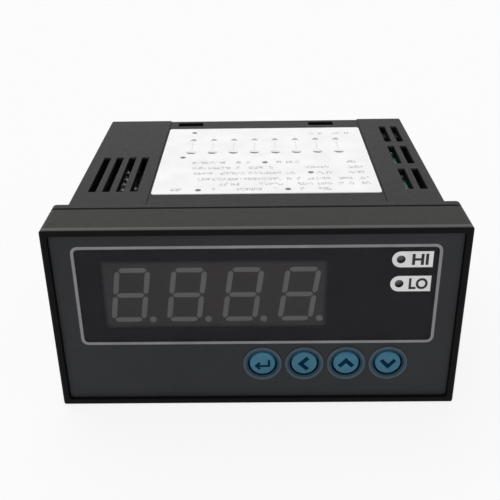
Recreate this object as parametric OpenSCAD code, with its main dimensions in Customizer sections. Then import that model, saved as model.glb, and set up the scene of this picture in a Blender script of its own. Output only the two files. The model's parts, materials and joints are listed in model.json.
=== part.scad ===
// Panel-mounting temperature indicator: bezel with keys and display, ventilated housing, terminal base.
// The origin is the middle of the plane where the flange meets the panel, in millimetres:
// +X to the right seen from the front, +Y into the panel, +Z up.

/* [Front bezel] */
// Width of the bezel
bezel_w = 96; // [94:1:120]
// Height of the bezel
bezel_h = 48; // [47:1:60]
// Depth of the bezel in front of the parting groove
bezel_d = 11; // [10.5:0.5:15]
// Thickness of the bezel's outer walls
bezel_wall = 2; // [1.6:0.1:2.4]
// Radius along the bezel's front edges
bezel_edge_r = 0.75; // [0.3:0.05:1]
// Radius of the bezel's corners, seen from the front
bezel_corner_r = 1.2; // [0.8:0.1:2]
// Width of the raised rim around the overlay
rim_w = 1.65; // [1.3:0.05:2.4]
// Height of the rim above the overlay
rim_h = 0.9; // [0.4:0.1:1.2]
// Radius of the rim's inner corners
rim_r = 0.8; // [0.3:0.1:1.5]
// Thickness of the face plate that carries the overlay
face_t = 2; // [1.5:0.1:2.5]
// Width of the parting groove between bezel and flange
groove_w = 0.9; // [0.5:0.1:1.4]
// Depth of the parting groove
groove_depth = 0.8; // [0.4:0.1:1]

/* [Bezel latch arms] */
// Thickness of the arms that hold the bezel in the housing
arm_t = 1.2; // [1:0.1:1.5]
// Width of each arm
arm_w = 7; // [5:0.5:9]
// Height of the arms above and below the middle
arm_z = 10; // [7:0.5:10]
// How far behind the panel plane the arms catch
arm_catch_y = 4; // [3:0.5:5]
// How far the arm's hook stands out
arm_hook = 0.9; // [0.6:0.1:1.1]
// Length of the hook with its lead-in ramp
arm_hook_l = 2.4; // [1.6:0.1:2.6]
// Length of the hook's flat top
arm_hook_flat = 0.5; // [0.3:0.1:0.8]
// Clearance around the arms and their hooks
arm_clear = 0.15; // [0.1:0.05:0.25]

/* [Rear housing] */
// Width of the housing behind the panel
housing_w = 90.9; // [88:0.1:92]
// Height of the housing behind the panel
housing_h = 44.4; // [43:0.1:45]
// Depth of the housing behind the panel
housing_d = 69.3; // [68:0.1:90]
// Thickness of the housing's walls
housing_wall = 2; // [1.7:0.1:2.3]
// Radius along the housing's long edges
housing_r = 0.6; // [0.2:0.1:1.2]
// Thickness of the flange that presses on the panel
flange_t = 2; // [1.5:0.1:3]

/* [Vent slots] */
// Width of each slot
vent_w = 1.95; // [1.2:0.05:2.3]
// Distance between slots side by side
vent_pitch = 3.5; // [3:0.1:3.8]
// Distance from the panel plane to the first slots
vent_y = 11.9; // [9:0.1:14]
// Number of long slots on the left
vent_left_n = 4; // [2:1:4]
// Length of the long slots
vent_left_l = 24.6; // [15:0.1:30]
// Distance from the left side to the first long slot
vent_left_inset = 4.35; // [3.6:0.05:4.6]
// Number of columns of short slots on the right
vent_right_n = 2; // [1:1:2]
// Number of rows of short slots
vent_rows = 3; // [1:1:3]
// Length of the short slots
vent_right_l = 14; // [8:0.1:15]
// Distance between rows of short slots
vent_row_pitch = 17.8; // [16:0.1:18]
// Distance from the right side to the first short slot
vent_right_inset = 3.5; // [3.5:0.05:4.6]

/* [Label on the top] */
// Width of the wiring label
label_w = 57.4; // [40:0.1:58]
// Length of the wiring label
label_l = 51; // [30:0.1:52]
// Thickness of the wiring label
label_t = 0.2; // [0.1:0.05:0.3]
// Corner radius of the wiring label
label_r = 0.8; // [0.3:0.1:2]
// Distance of the label's middle to the right of the housing's middle
label_x = 2.6; // [0:0.1:2.8]
// Distance from the panel plane to the label
label_y = 10.3; // [6:0.1:11]
// Depth of the channel that the label lies in
channel_depth = 0.3; // [0.3:0.05:0.6]
// Gap between the label and the channel's sides
channel_gap = 0.5; // [0.2:0.1:0.8]

/* [Rear latches] */
// Width of each latch window
latch_w = 7.6; // [5:0.1:9]
// Length of each latch window
latch_l = 3.5; // [2:0.1:3.6]
// Distance between the latch windows of one wall
latch_span = 40.4; // [30:0.1:50]
// Distance from the rear edge to the latch windows
latch_inset = 1.4; // [1.4:0.1:3]
// Clearance around the latch hooks
latch_clear = 0.25; // [0.15:0.05:0.4]
// How far the latch hooks stay below the housing's surface
latch_sink = 1.2; // [0.6:0.1:1.4]
// Width of the slits beside each latch tongue
latch_slit = 0.8; // [0.5:0.1:1]

/* [Clamp slots in the sides] */
// Height of each slot that a panel clamp hooks into
clamp_slot_h = 12; // [8:0.5:16]
// Width of each clamp slot
clamp_slot_w = 3; // [2:0.1:3.6]
// Distance from the panel plane to the first clamp slot
clamp_slot_y = 20; // [14:0.5:24]
// Distance between the two clamp slots of one side
clamp_slot_pitch = 24; // [15:0.5:28]

/* [Overlay and window] */
// Thickness of the overlay and of the window
overlay_t = 0.6; // [0.4:0.05:0.8]
// Gap between the overlay and the rim
overlay_gap = 0.15; // [0.05:0.05:0.3]
// Gap between the window and the face plate
window_gap = 0.05; // [0.02:0.01:0.1]
// Distance from the bezel's sides to the window
window_side = 6.65; // [5:0.05:8]
// Distance from the bezel's top to the window
window_top = 4.975; // [4:0.025:6]
// Corner radius of the window
window_r = 1.4; // [0.8:0.1:3]
// Width of the border line
border_w = 0.7; // [0.4:0.05:1]
// Thickness of the border line
border_t = 0.06; // [0.04:0.01:0.1]

/* [Display] */
// Number of digits
digit_n = 4; // [3:1:4]
// Height of a digit
digit_h = 14.3; // [12:0.1:15]
// Width of a digit
digit_w = 8.2; // [7:0.1:9]
// Distance between digits
digit_pitch = 13; // [12.2:0.1:13]
// Lean of the digits to the right, in degrees
digit_slant = 8; // [0:1:10]
// Width of a segment
segment_w = 1.2; // [1:0.1:1.8]
// Gap between neighbouring segments
segment_gap = 0.25; // [0.15:0.05:0.4]
// Depth of the segments behind the display's face
segment_depth = 1; // [0.5:0.1:2]
// Diameter of the decimal points
point_d = 1.6; // [1.2:0.1:1.9]
// Distance from a digit's middle to its decimal point
point_x = 4.8; // [4.7:0.1:5.2]
// How much narrower the display block is than its digits' pitches
display_trim = 0.4; // [0.2:0.1:0.6]
// Distance from the digits to the display block's upper and lower edges
display_edge = 1.7; // [1:0.05:2]
// Distance from the display board's left edge to the display block
display_left = 6.4; // [6:0.1:8]
// How far the display's middle lies below the window's middle
display_drop = 0; // [0:0.1:2]
// How far the digits lie to the left of the block's middle
digits_left = 0; // [0:0.05:0.3]
// Gap between the display and the window
display_gap = 0.2; // [0.1:0.05:0.3]
// Clearance around the display block in the face plate
display_clear = 0.2; // [0.1:0.05:0.4]

/* [Alarm lamps and tags] */
// Width of a tag
tag_w = 9.2; // [7:0.1:9.6]
// Height of a tag
tag_h = 4; // [3.6:0.1:5]
// Thickness of a tag
tag_t = 0.08; // [0.05:0.01:0.12]
// Diameter of the clear spot in a tag
spot_d = 2; // [1.5:0.1:2.6]
// Distance from the window's right edge to the lamps' middles
lamp_right = 8.85; // [8:0.05:12]
// Distance from the window's upper edge to the upper lamp's middle
lamp_top = 3.475; // [3:0.025:5]
// Distance between the two lamps
lamp_pitch = 6.25; // [5.5:0.05:8]
// Diameter of a lamp
lamp_d = 3; // [2.6:0.1:3.2]
// Length of a lamp's body
lamp_l = 4.2; // [3.6:0.1:4.8]
// Diameter of the foot around a lamp
lamp_foot_d = 3.8; // [3.4:0.1:4]
// Thickness of the foot
lamp_foot_h = 0.9; // [0.6:0.1:1.2]
// Clearance around the lamps in the face plate
lamp_clear = 0.15; // [0.1:0.05:0.3]

/* [Keys] */
// Diameter of a key
key_d = 6.3; // [5:0.1:6.4]
// Distance between keys
key_pitch = 10.05; // [9.6:0.05:10.2]
// Distance from the bezel's right side to the last key's middle
key_right = 16.6; // [14:0.1:20]
// Distance from the bezel's lower edge to the keys' middles
key_bottom = 11.5; // [11:0.1:13]
// Distance from the window's lower edge down to the keys' middles
key_drop = 6.075; // [5.6:0.025:7]
// How far the keys stand in front of the overlay
key_proud = 0.35; // [0.2:0.05:0.6]
// Radius of the keys' crowned faces
key_crown_r = 16; // [12:1:40]
// Radius along the keys' front edges
key_edge_r = 0.8; // [0.5:0.1:1.2]
// Travel of the keys
key_travel = 0.4; // [0.25:0.05:0.5]
// Clearance around the keys in the face plate
key_clear = 0.2; // [0.15:0.05:0.3]
// Width of the open ring between a key and its raised ring
key_moat = 0.35; // [0.35:0.05:0.6]
// Width of the raised ring around a key
ring_w = 1.15; // [0.8:0.05:1.25]
// Height of the raised ring
ring_h = 0.35; // [0.3:0.05:0.5]
// Radius along the ring's outer crest
ring_crest_r = 0.15; // [0.05:0.05:0.15]
// Height of the ring's inner edge, where its dished slope ends
ring_lip_h = 0.08; // [0.05:0.01:0.15]
// Width of the collar that keeps a key behind the face plate
collar_w = 0.95; // [0.7:0.05:1.2]
// Thickness of the collar
collar_t = 0.9; // [0.6:0.1:1.2]
// Gap between the collar and the face plate
collar_gap = 0.1; // [0.05:0.05:0.2]
// Diameter of the stem that presses the switch
stem_d = 3; // [2.4:0.1:3.4]

/* [Key switches] */
// Side of a switch body
switch_w = 6; // [5.5:0.1:6.5]
// Height of a switch body
switch_h = 3.5; // [3:0.1:3.6]
// Height of a switch with its plunger
switch_total_h = 5; // [4.6:0.1:5.4]
// Diameter of the plunger
plunger_d = 3.4; // [2.8:0.1:3.8]
// Length of the plunger inside the switch body
plunger_in = 1.2; // [0.8:0.1:1.4]
// Clearance around the plunger
plunger_clear = 0.25; // [0.15:0.05:0.35]
// Free depth under a pressed plunger
plunger_free = 0.3; // [0.2:0.1:0.4]
// Length of a switch's solder tabs
tab_l = 1.2; // [0.8:0.1:1.4]
// Width of a switch's solder tabs
tab_w = 0.9; // [0.6:0.1:1.2]
// Thickness of a switch's solder tabs
tab_t = 0.3; // [0.2:0.05:0.5]
// Distance between the two tabs of one side
tab_pitch = 3.2; // [2.6:0.1:4]

/* [Boards] */
// Thickness of the boards
board_t = 1.6; // [1.2:0.1:1.8]
// Height of the posts between the face plate and the display board
post_h = 7; // [6.8:0.1:8]
// Diameter of the posts
post_d = 5; // [4.2:0.1:5.4]
// Distance from the display board's side edges to the posts
post_inset = 3.2; // [3:0.1:3.4]
// Gap between the display board and the housing's mouth
board_gap = 1.6; // [1.5:0.1:2.4]
// Gap between the display board and the housing's roof and floor
board_end_gap = 0.5; // [0.3:0.1:0.8]
// Gap between the main boards and their neighbours at both ends
main_board_gap = 0.2; // [0.1:0.05:0.4]
// Gap between the main boards and the housing's roof and floor
roof_gap = 1.6; // [1.4:0.1:2]
// Depth of the rails that hold the main boards
rail_depth = 3.6; // [3.2:0.1:5]
// Thickness of the rails
rail_t = 1.4; // [1:0.1:1.8]
// How far the rails hold the boards' edges
rail_hold = 0.65; // [0.4:0.05:1]
// Clearance of the boards in the rails
rail_clear = 0.15; // [0.1:0.05:0.25]
// Distance from the panel plane to the rails
rail_y = 8.5; // [8:0.5:11]

/* [Board screws] */
// Diameter of the board screws
screw_d = 2.2; // [1.8:0.1:2.4]
// Length of the board screws under the head
screw_l = 6; // [5:0.5:7]
// Diameter of the board screws' heads
screw_head_d = 4.4; // [4:0.1:5]
// Height of the board screws' heads
screw_head_h = 1.5; // [1.2:0.1:2]
// Radius along the edges of screw heads
screw_head_r = 0.7; // [0.3:0.1:1]
// Clearance around screws and leads in their holes
hole_clear = 0.1; // [0.05:0.05:0.2]

/* [Pins and headers] */
// Distance between pins
pin_pitch = 2.54; // [2:0.01:2.54]
// Side of a square pin
pin_w = 0.6; // [0.4:0.05:0.7]
// Length that pins stand through a board
pin_out = 0.9; // [0.6:0.1:1.2]
// Number of pins in a header
header_n = 8; // [6:1:8]
// Side of a header's strip
header_w = 2.5; // [2.2:0.1:2.8]
// Distance from the main boards' left edge to the headers' middles
header_left = 12.5; // [11:0.5:13]
// Number of display pins in a row
display_pin_n = 6; // [4:1:7]
// Distance between the display's rows of pins
display_pin_row = 15.24; // [12:0.01:15.24]

/* [Mains transformer] */
// Width of the core
core_w = 30; // [26:1:32]
// Height of the core
core_h = 25; // [20:1:27]
// Thickness of the core
core_t = 13; // [10:0.5:15]
// Width of the core's outer limbs
core_limb = 5; // [4:0.5:5.5]
// How far the winding bulges past the core
coil_bulge = 4.6; // [3:0.1:5]
// Clearance between the winding and the core
coil_clear = 0.2; // [0.1:0.05:0.3]
// Corner radius of the winding
coil_r = 1.8; // [0.5:0.1:2.5]
// Thickness of the bobbin's flanges
coil_flange = 1; // [0.8:0.1:1.5]
// How far the winding stays inside the bobbin's flanges
coil_step = 0.6; // [0.3:0.1:1]
// Distance from the main boards' left edge to the transformer's middle
core_left = 20.5; // [19.5:0.5:21.5]
// Distance from the terminals' tails to the core
core_gap = 7.8; // [5:0.1:10]

/* [Relays] */
// Width of a relay
relay_w = 15.4; // [12:0.1:15.8]
// Length of a relay
relay_l = 20; // [16:0.1:20]
// Height of a relay
relay_h = 15.5; // [12:0.1:20]
// Edge radius of a relay
relay_r = 0.8; // [0.3:0.1:1.5]
// Distance from the main boards' right edge to the outer relay's middle
relay_right = 9.9; // [9.5:0.1:11]
// Distance between the two relays
relay_pitch = 16.6; // [16.2:0.1:16.8]
// Distance from the terminals' tails to the relays
relay_gap = 2.3; // [1:0.1:6]

/* [Supply parts] */
// Diameter of the smoothing capacitor
smoothing_d = 12.5; // [10:0.5:13]
// Height of the smoothing capacitor
smoothing_h = 20; // [12:0.5:22]
// Distance from the main boards' left edge to the smoothing capacitor's middle
smoothing_left = 11.5; // [10:0.5:12.5]
// Diameter of the filter capacitor
filter_d = 8; // [5:0.5:8]
// Height of the filter capacitor
filter_h = 12; // [8:0.5:16]
// Distance from the main boards' left edge to the filter capacitor's middle
filter_left = 25.5; // [24:0.5:27]
// Radius of the rolled groove in a can
can_bead = 0.6; // [0.3:0.05:0.8]
// Height of the rolled groove above the board
can_groove_z = 2.2; // [1.5:0.1:3]
// Width of the rim around a can's sunken top
can_rim = 1.1; // [0.6:0.1:1.5]
// Depth of a can's sunken top
can_dish = 0.5; // [0.3:0.1:0.8]
// Distance from the panel plane to the supply parts' middles
supply_y = 12; // [10:0.5:15]
// Width of the bridge rectifier
bridge_w = 8.4; // [6:0.1:9]
// Length of the bridge rectifier
bridge_l = 6.4; // [5:0.1:7]
// Height of the bridge rectifier
bridge_h = 3.4; // [2.5:0.1:4]
// Corner radius of the bridge rectifier
bridge_r = 0.8; // [0.3:0.1:1.5]
// Distance from the main boards' left edge to the rectifier's middle
bridge_left = 37.5; // [36:0.5:39]
// Width of the voltage regulator
regulator_w = 10; // [8:0.1:11]
// Thickness of the voltage regulator's body
regulator_t = 4.5; // [3.5:0.1:5]
// Height of the voltage regulator's body
regulator_h = 9; // [7:0.1:10]
// Height of the voltage regulator's cooling tab
regulator_tab_h = 6.4; // [4:0.1:8]
// Thickness of the cooling tab
regulator_tab_t = 1.3; // [1:0.1:1.6]
// Diameter of the hole in the cooling tab
regulator_hole_d = 3.2; // [2.6:0.1:3.6]
// Length of the voltage regulator's legs
regulator_leg = 4; // [2:0.1:6]
// Distance from the main boards' right edge to the regulator's middle
regulator_right = 17.5; // [14:0.5:20]

/* [Measuring parts] */
// Length of the microcontroller
controller_l = 35.5; // [33.1:0.1:37]
// Width of the microcontroller
controller_w = 7; // [6:0.1:8]
// Number of legs on each side of the microcontroller
controller_legs = 14; // [8:1:14]
// Length of the converter
converter_l = 20; // [18:0.1:22]
// Width of the converter
converter_w = 6.4; // [5.5:0.1:7]
// Number of legs on each side of the converter
converter_legs = 8; // [4:1:8]
// Height of the chips' bodies
chip_h = 3.4; // [2.4:0.1:4]
// Gap under the chips' bodies
chip_gap = 0.5; // [0.3:0.1:0.8]
// Width of the chips' legs
chip_leg_w = 0.5; // [0.4:0.05:0.8]
// Thickness of the chips' legs
chip_leg_t = 0.3; // [0.2:0.05:0.4]
// How far the chips' legs stand out
chip_leg_out = 0.9; // [0.6:0.1:1.2]
// Distance from the main boards' left edge to the microcontroller's middle
controller_left = 21.5; // [20:0.5:22]
// Distance from the main boards' right edge to the converter's middle
converter_right = 17; // [15:0.5:20]
// Distance from the panel plane to the chips' middles
chip_y = 30; // [24:0.5:40]
// Length of the crystal
crystal_l = 11; // [9:0.1:12]
// Width of the crystal
crystal_w = 4.6; // [3.5:0.1:5]
// Height of the crystal
crystal_h = 3.5; // [2.5:0.1:4]
// Distance from the microcontroller to the crystal
crystal_off = 10; // [9:0.5:12]

/* [Terminal base] */
// Number of terminals in each row
terminal_n = 8; // [6:1:9]
// Depth of the terminal cells
cell_depth = 8.5; // [7.5:0.1:9]
// Thickness of the barriers between cells
barrier_t = 1.4; // [1:0.1:1.8]
// Gap between the barriers and the skirt
barrier_gap = 0.6; // [0.4:0.1:1]
// Thickness of the wall that carries the terminals
base_wall = 3; // [2.4:0.1:3.4]
// Thickness of the skirt that slides into the housing
skirt_t = 1.4; // [1.2:0.1:1.6]
// Height of the bar between the two rows
spine_h = 4; // [3:0.1:5]
// How far the bar stays in front of the barriers' ends
spine_sink = 2.5; // [1:0.1:4]
// Clearance between the terminal base and the housing
base_fit = 0.15; // [0.1:0.05:0.25]
// How far the terminal base stays inside the housing's rear edge
base_sink = 0.3; // [0:0.1:0.6]

/* [Terminals] */
// Thickness of a terminal plate
plate_t = 1.2; // [0.8:0.1:1.5]
// Gap between a terminal plate and the barriers
plate_gap = 0.4; // [0.2:0.1:0.6]
// Height of a terminal plate below its screw
plate_below = 4.2; // [3.8:0.1:5]
// Width of a terminal plate's tail
tail_w = 2.4; // [1.6:0.1:3]
// Thickness of a terminal plate's tail
tail_t = 0.8; // [0.6:0.1:1]
// Length of the tail along its board
tail_l = 5; // [3:0.1:6]
// Clearance around the tails in the wall
tail_clear = 0.15; // [0.1:0.05:0.25]
// Side of a clamp washer
washer_w = 6.6; // [6:0.1:7]
// Thickness of a clamp washer
washer_t = 0.9; // [0.6:0.1:1.2]
// Corner radius of a clamp washer
washer_r = 0.6; // [0.2:0.1:1]
// Diameter of the terminal screws
terminal_screw_d = 2.9; // [2.4:0.1:3.4]
// Length of the terminal screws under the head
terminal_screw_l = 6; // [5.5:0.1:7]
// Diameter of the terminal screws' heads
terminal_head_d = 5.6; // [5:0.1:6]
// Height of the terminal screws' heads
terminal_head_h = 2.2; // [1.6:0.1:2.6]
// Width of the cross slots in screw heads
cross_w = 0.9; // [0.6:0.1:1.2]
// Length of the cross slots, as a share of the head
cross_share = 0.62; // [0.5:0.02:0.75]
// Depth of the cross slots
cross_depth = 0.9; // [0.6:0.1:1.1]

/* [Hidden] */
$fn = 48;
// Number of sides around a key's crown
crown_sides = 96;
// How far a cut runs past the surface that it opens
cut = 1;
// How far a joined shape reaches into its neighbour
root = 0.4;

// Inside of the housing
inner_w = housing_w - 2 * housing_wall;
inner_h = housing_h - 2 * housing_wall;

// Planes across the depth, front to back
y_flange = -flange_t;
y_bezel_back = y_flange - groove_w;
y_front = y_bezel_back - bezel_d;
y_overlay = y_front + rim_h;
y_face = y_overlay + overlay_t;
y_face_back = y_face + face_t;
y_display = y_face + display_gap;
y_board = y_face_back + post_h;
y_board_back = y_board + board_t;
y_main = y_board_back + main_board_gap;
y_base_rear = housing_d - base_sink;
y_cell = y_base_rear - cell_depth;
y_base = y_cell - base_wall;
y_main_end = y_base - main_board_gap;
y_switch = y_board - switch_h;
y_plunger = y_board - switch_total_h;

// Overlay recess and overlay
recess_w = bezel_w - 2 * rim_w;
recess_h = bezel_h - 2 * rim_w;

// Display board, which fits into both the bezel and the housing
display_board_w = min(inner_w, bezel_w - 2 * bezel_wall) - 2 * board_gap;
display_board_h = min(inner_h, bezel_h - 2 * bezel_wall) - 2 * board_end_gap;
post_x = display_board_w / 2 - post_inset;

// Main boards and the headers between the boards
main_board_w = inner_w - 2 * rail_depth + 2 * rail_hold;
z_outer = inner_h / 2 - roof_gap;
z_inner = z_outer - board_t;
header_x = header_left - main_board_w / 2;
header_z = z_inner - header_w / 2;
header_y = y_board_back + header_w / 2;
pin_hole_d = pin_w * sqrt(2) + 2 * hole_clear;

// Latch arms of the bezel
arm_x = inner_w / 2 - arm_clear;
arm_end = arm_catch_y + arm_hook_l;

// Keys, one node each
key_n = 4;
key_z = key_bottom - bezel_h / 2;
key_hole_d = key_d + 2 * key_moat;
y_key = y_overlay - key_proud;
y_collar = y_face_back + collar_gap;
function key_at(i) = bezel_w / 2 - key_right - (key_n - 1 - i) * key_pitch;

// Window, between the middles of its border lines
window_low = key_z + key_drop;
window_high = bezel_h / 2 - window_top;
window_w = bezel_w - 2 * window_side;
window_h = window_high - window_low;
window_z = (window_high + window_low) / 2;

// Display
display_w = digit_n * digit_pitch - display_trim;
display_h = digit_h + 2 * display_edge;
display_x = display_left + (display_w - display_board_w) / 2;
display_z = window_z - display_drop;

// Lamps
lamp_x = window_w / 2 - lamp_right;
y_lamp = y_face + display_gap + lamp_l;
function lamp_at(i) = window_high - lamp_top - i * lamp_pitch;

// Parts on the main boards, from the boards' edges and the terminals' tails
core_x = core_left - main_board_w / 2;
core_y = y_main_end - tail_l - core_gap - core_t / 2;
relay_y = y_main_end - tail_l - relay_gap - relay_l / 2;
function relay_at(i) = main_board_w / 2 - relay_right - (1 - i) * relay_pitch;
controller_x = controller_left - main_board_w / 2;
converter_x = main_board_w / 2 - converter_right;

// Terminal base
base_w = inner_w - 2 * base_fit;
base_h = inner_h - 2 * base_fit;
cell_pitch = (base_w - barrier_t) / terminal_n;
cell_w = cell_pitch - barrier_t;
barrier_end = base_h / 2 - skirt_t - barrier_gap;
row_z = (spine_h / 2 + base_h / 2 - skirt_t) / 2;
y_latch = housing_d - latch_inset - latch_l;
y_washer = y_cell + plate_t;
y_head = y_washer + washer_t;
function cell_x(i) = (i - (terminal_n - 1) / 2) * cell_pitch;

// Box between two opposite corners, given in any order
module block(a, b) {
    low = [min(a.x, b.x), min(a.y, b.y), min(a.z, b.z)];
    high = [max(a.x, b.x), max(a.y, b.y), max(a.z, b.z)];
    translate(low) cube(high - low);
}

// Flat rectangle with round corners, about its middle
module rounded_rect(w, h, r) {
    square([w - 2 * r, h], center = true);
    square([w, h - 2 * r], center = true);
    for (sx = [-1, 1], sy = [-1, 1])
        translate([sx * (w / 2 - r), sy * (h / 2 - r)]) circle(r);
}

// Front view outline carried from y0 back to y1
module slab_y(y0, y1) {
    translate([0, y1, 0]) rotate([90, 0, 0]) linear_extrude(y1 - y0) children();
}

// Side view outline carried across a width about the middle
module slab_x(w) {
    rotate([90, 0, 90]) linear_extrude(w, center = true) children();
}

// Top view outline carried from z0 up to z1
module slab_z(z0, z1) {
    translate([0, 0, z0]) linear_extrude(z1 - z0) children();
}

// Half section of a round cap with a rounded upper edge, standing on its flat side
module half_cap(d, h, r) {
    square([d / 2 - r, h]);
    square([d / 2, h - r]);
    translate([d / 2 - r, h - r]) circle(r);
}

// Round rod along the depth from y0 back to y1
module rod_y(d, y0, y1) {
    translate([0, y1, 0]) rotate([90, 0, 0]) cylinder(h = y1 - y0, d = d);
}

// Round rod along the height from z0 up to z1
module rod_z(d, z0, z1) {
    translate([0, 0, z0]) cylinder(h = z1 - z0, d = d);
}

// Places for the two posts and screws of the display board, at half height
module at_posts() {
    for (sx = [-1, 1]) translate([sx * post_x, 0, 0]) children();
}

// Bezel's outside: rounded front edges, then the narrower neck inside the parting groove
module bezel_outside() {
    intersection() {
        slab_y(y_front, y_bezel_back) rounded_rect(bezel_w, bezel_h, bezel_corner_r);
        slab_z(-bezel_h, bezel_h)
            translate([0, y_bezel_back]) rounded_rect(bezel_w, 2 * bezel_d, bezel_edge_r);
        slab_x(2 * bezel_w)
            translate([y_bezel_back, 0]) rounded_rect(2 * bezel_d, bezel_h, bezel_edge_r);
    }
    slab_y(y_face_back, y_flange)
        rounded_rect(bezel_w - 2 * groove_depth, bezel_h - 2 * groove_depth, bezel_corner_r);
}

// Arm with a ramped hook that catches in the housing's side wall
module latch_arm(sx, sz) {
    inside = arm_x - arm_t;
    block([sx * inside, y_face, sz * arm_z - arm_w / 2], [sx * arm_x, arm_end, sz * arm_z + arm_w / 2]);
    slab_z(sz * arm_z - arm_w / 2, sz * arm_z + arm_w / 2)
        polygon([
            [sx * inside, arm_catch_y],
            [sx * (arm_x + arm_hook), arm_catch_y],
            [sx * (arm_x + arm_hook), arm_catch_y + arm_hook_flat],
            [sx * arm_x, arm_end],
            [sx * inside, arm_end]
        ]);
}

module front_bezel() {
    color("#2a2a2a")
    difference() {
        union() {
            difference() {
                bezel_outside();
                slab_y(y_front - cut, y_face) rounded_rect(recess_w, recess_h, rim_r);
                slab_y(y_face_back, y_flange + cut)
                    square([bezel_w - 2 * bezel_wall, bezel_h - 2 * bezel_wall], center = true);
            }
            at_posts() rod_y(post_d, y_face_back - root, y_board);
            for (sx = [-1, 1], sz = [-1, 1]) latch_arm(sx, sz);
        }
        at_posts() rod_y(screw_d + 2 * hole_clear, y_board_back - screw_l - hole_clear, y_board + cut);
        slab_y(y_face - cut, y_face_back + cut)
            translate([display_x, display_z])
                square([display_w + 2 * display_clear, display_h + 2 * display_clear], center = true);
        for (i = [0, 1])
            translate([lamp_x, 0, lamp_at(i)])
                rod_y(lamp_d + 2 * lamp_clear, y_face - cut, y_face_back + cut);
        for (i = [0 : key_n - 1])
            translate([key_at(i), 0, key_z])
                rod_y(key_d + 2 * key_clear, y_face - cut, y_face_back + cut);
    }
}

// Long slots on the left and rows of short slots on the right, through one wall
module vent_slots(side) {
    z0 = side * z_outer;
    z1 = side * (housing_h / 2 + cut);
    for (i = [0 : vent_left_n - 1]) {
        x = vent_left_inset - housing_w / 2 + i * vent_pitch;
        block([x - vent_w / 2, vent_y, z0], [x + vent_w / 2, vent_y + vent_left_l, z1]);
    }
    for (i = [0 : vent_right_n - 1], row = [0 : vent_rows - 1]) {
        x = housing_w / 2 - vent_right_inset - i * vent_pitch;
        y = vent_y + row * vent_row_pitch;
        block([x - vent_w / 2, y, z0], [x + vent_w / 2, y + vent_right_l, z1]);
    }
}

// Two ribs on a side wall that hold the edge of one main board
module board_rail(sx, sz) {
    x0 = sx * (inner_w / 2 - rail_depth);
    x1 = sx * (inner_w / 2 + root);
    y1 = y_main_end - tail_l - tail_clear;
    block([x0, rail_y, sz * (z_inner - rail_clear - rail_t)], [x1, y1, sz * (z_inner - rail_clear)]);
    block([x0, rail_y, sz * (z_outer + rail_clear)], [x1, y1, sz * (inner_h / 2 + root)]);
}

// Window for one latch hook, through the top or bottom wall
module latch_window(sx, sz) {
    x = sx * latch_span / 2;
    block([x - latch_w / 2, y_latch, sz * (inner_h / 2 - cut)],
          [x + latch_w / 2, y_latch + latch_l, sz * (housing_h / 2 + cut)]);
}

// Pocket in a side wall for one hook of the bezel's arms
module arm_pocket(sx, sz) {
    half = arm_w / 2 + arm_clear;
    block([sx * (inner_w / 2 - cut), arm_catch_y - arm_clear, sz * arm_z - half],
          [sx * (arm_x + arm_hook + arm_clear), arm_end + arm_clear, sz * arm_z + half]);
}

module rear_housing() {
    color("#4a4a4a")
    difference() {
        union() {
            difference() {
                union() {
                    slab_y(y_flange, 0) rounded_rect(bezel_w, bezel_h, bezel_corner_r);
                    slab_y(y_flange, housing_d) rounded_rect(housing_w, housing_h, housing_r);
                }
                slab_y(y_flange - cut, housing_d + cut) square([inner_w, inner_h], center = true);
            }
            for (sx = [-1, 1], sz = [-1, 1]) board_rail(sx, sz);
        }
        for (side = [-1, 1]) vent_slots(side);
        for (sx = [-1, 1], sz = [-1, 1]) {
            latch_window(sx, sz);
            arm_pocket(sx, sz);
        }
        for (sx = [-1, 1], i = [0, 1]) {
            y = clamp_slot_y + i * clamp_slot_pitch;
            block([sx * (inner_w / 2 - cut), y, -clamp_slot_h / 2],
                  [sx * (housing_w / 2 + cut), y + clamp_slot_w, clamp_slot_h / 2]);
        }
        block([label_x - label_w / 2 - channel_gap, 0, housing_h / 2 - channel_depth],
              [label_x + label_w / 2 + channel_gap, housing_d + cut, housing_h / 2 + cut]);
    }
}

module front_overlay() {
    color("#2e2f33")
    slab_y(y_overlay, y_face)
        difference() {
            rounded_rect(recess_w - 2 * overlay_gap, recess_h - 2 * overlay_gap, rim_r);
            translate([0, window_z]) rounded_rect(window_w, window_h, window_r);
            for (i = [0 : key_n - 1]) translate([key_at(i), key_z]) circle(d = key_hole_d);
        }
}

module display_window() {
    color("#202024")
    slab_y(y_overlay, y_face - window_gap)
        translate([0, window_z]) rounded_rect(window_w, window_h, window_r);
}

module window_border() {
    color("#858489")
    slab_y(y_overlay - border_t, y_overlay)
        translate([0, window_z])
            difference() {
                rounded_rect(window_w + border_w, window_h + border_w, window_r + border_w / 2);
                rounded_rect(window_w - border_w, window_h - border_w, window_r - border_w / 2);
            }
}

// Tag with one round end about its lamp and a clear spot over the lamp
module alarm_tag(i) {
    color("#e6e6e6")
    slab_y(y_overlay - tag_t, y_overlay)
        translate([lamp_x, lamp_at(i)])
            difference() {
                union() {
                    circle(d = tag_h);
                    translate([0, -tag_h / 2]) square([tag_w - tag_h / 2, tag_h]);
                }
                circle(d = spot_d);
            }
}

// Domed lamp with a foot and two leads through the display board
module alarm_lamp(i) {
    color("#c8c8c0")
    translate([lamp_x, 0, lamp_at(i)]) {
        translate([0, y_lamp, 0])
            rotate([90, 0, 0])
                rotate_extrude() {
                    square([lamp_foot_d / 2, lamp_foot_h]);
                    square([lamp_d / 2, lamp_l - lamp_d / 2]);
                    intersection() {
                        translate([0, lamp_l - lamp_d / 2]) circle(d = lamp_d);
                        square([lamp_d / 2, lamp_l]);
                    }
                }
        for (sx = [-1, 1])
            translate([sx * pin_pitch / 2, 0, 0])
                block([-pin_w / 2, y_lamp - root, -pin_w / 2],
                      [pin_w / 2, y_board_back, pin_w / 2]);
    }
}

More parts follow.
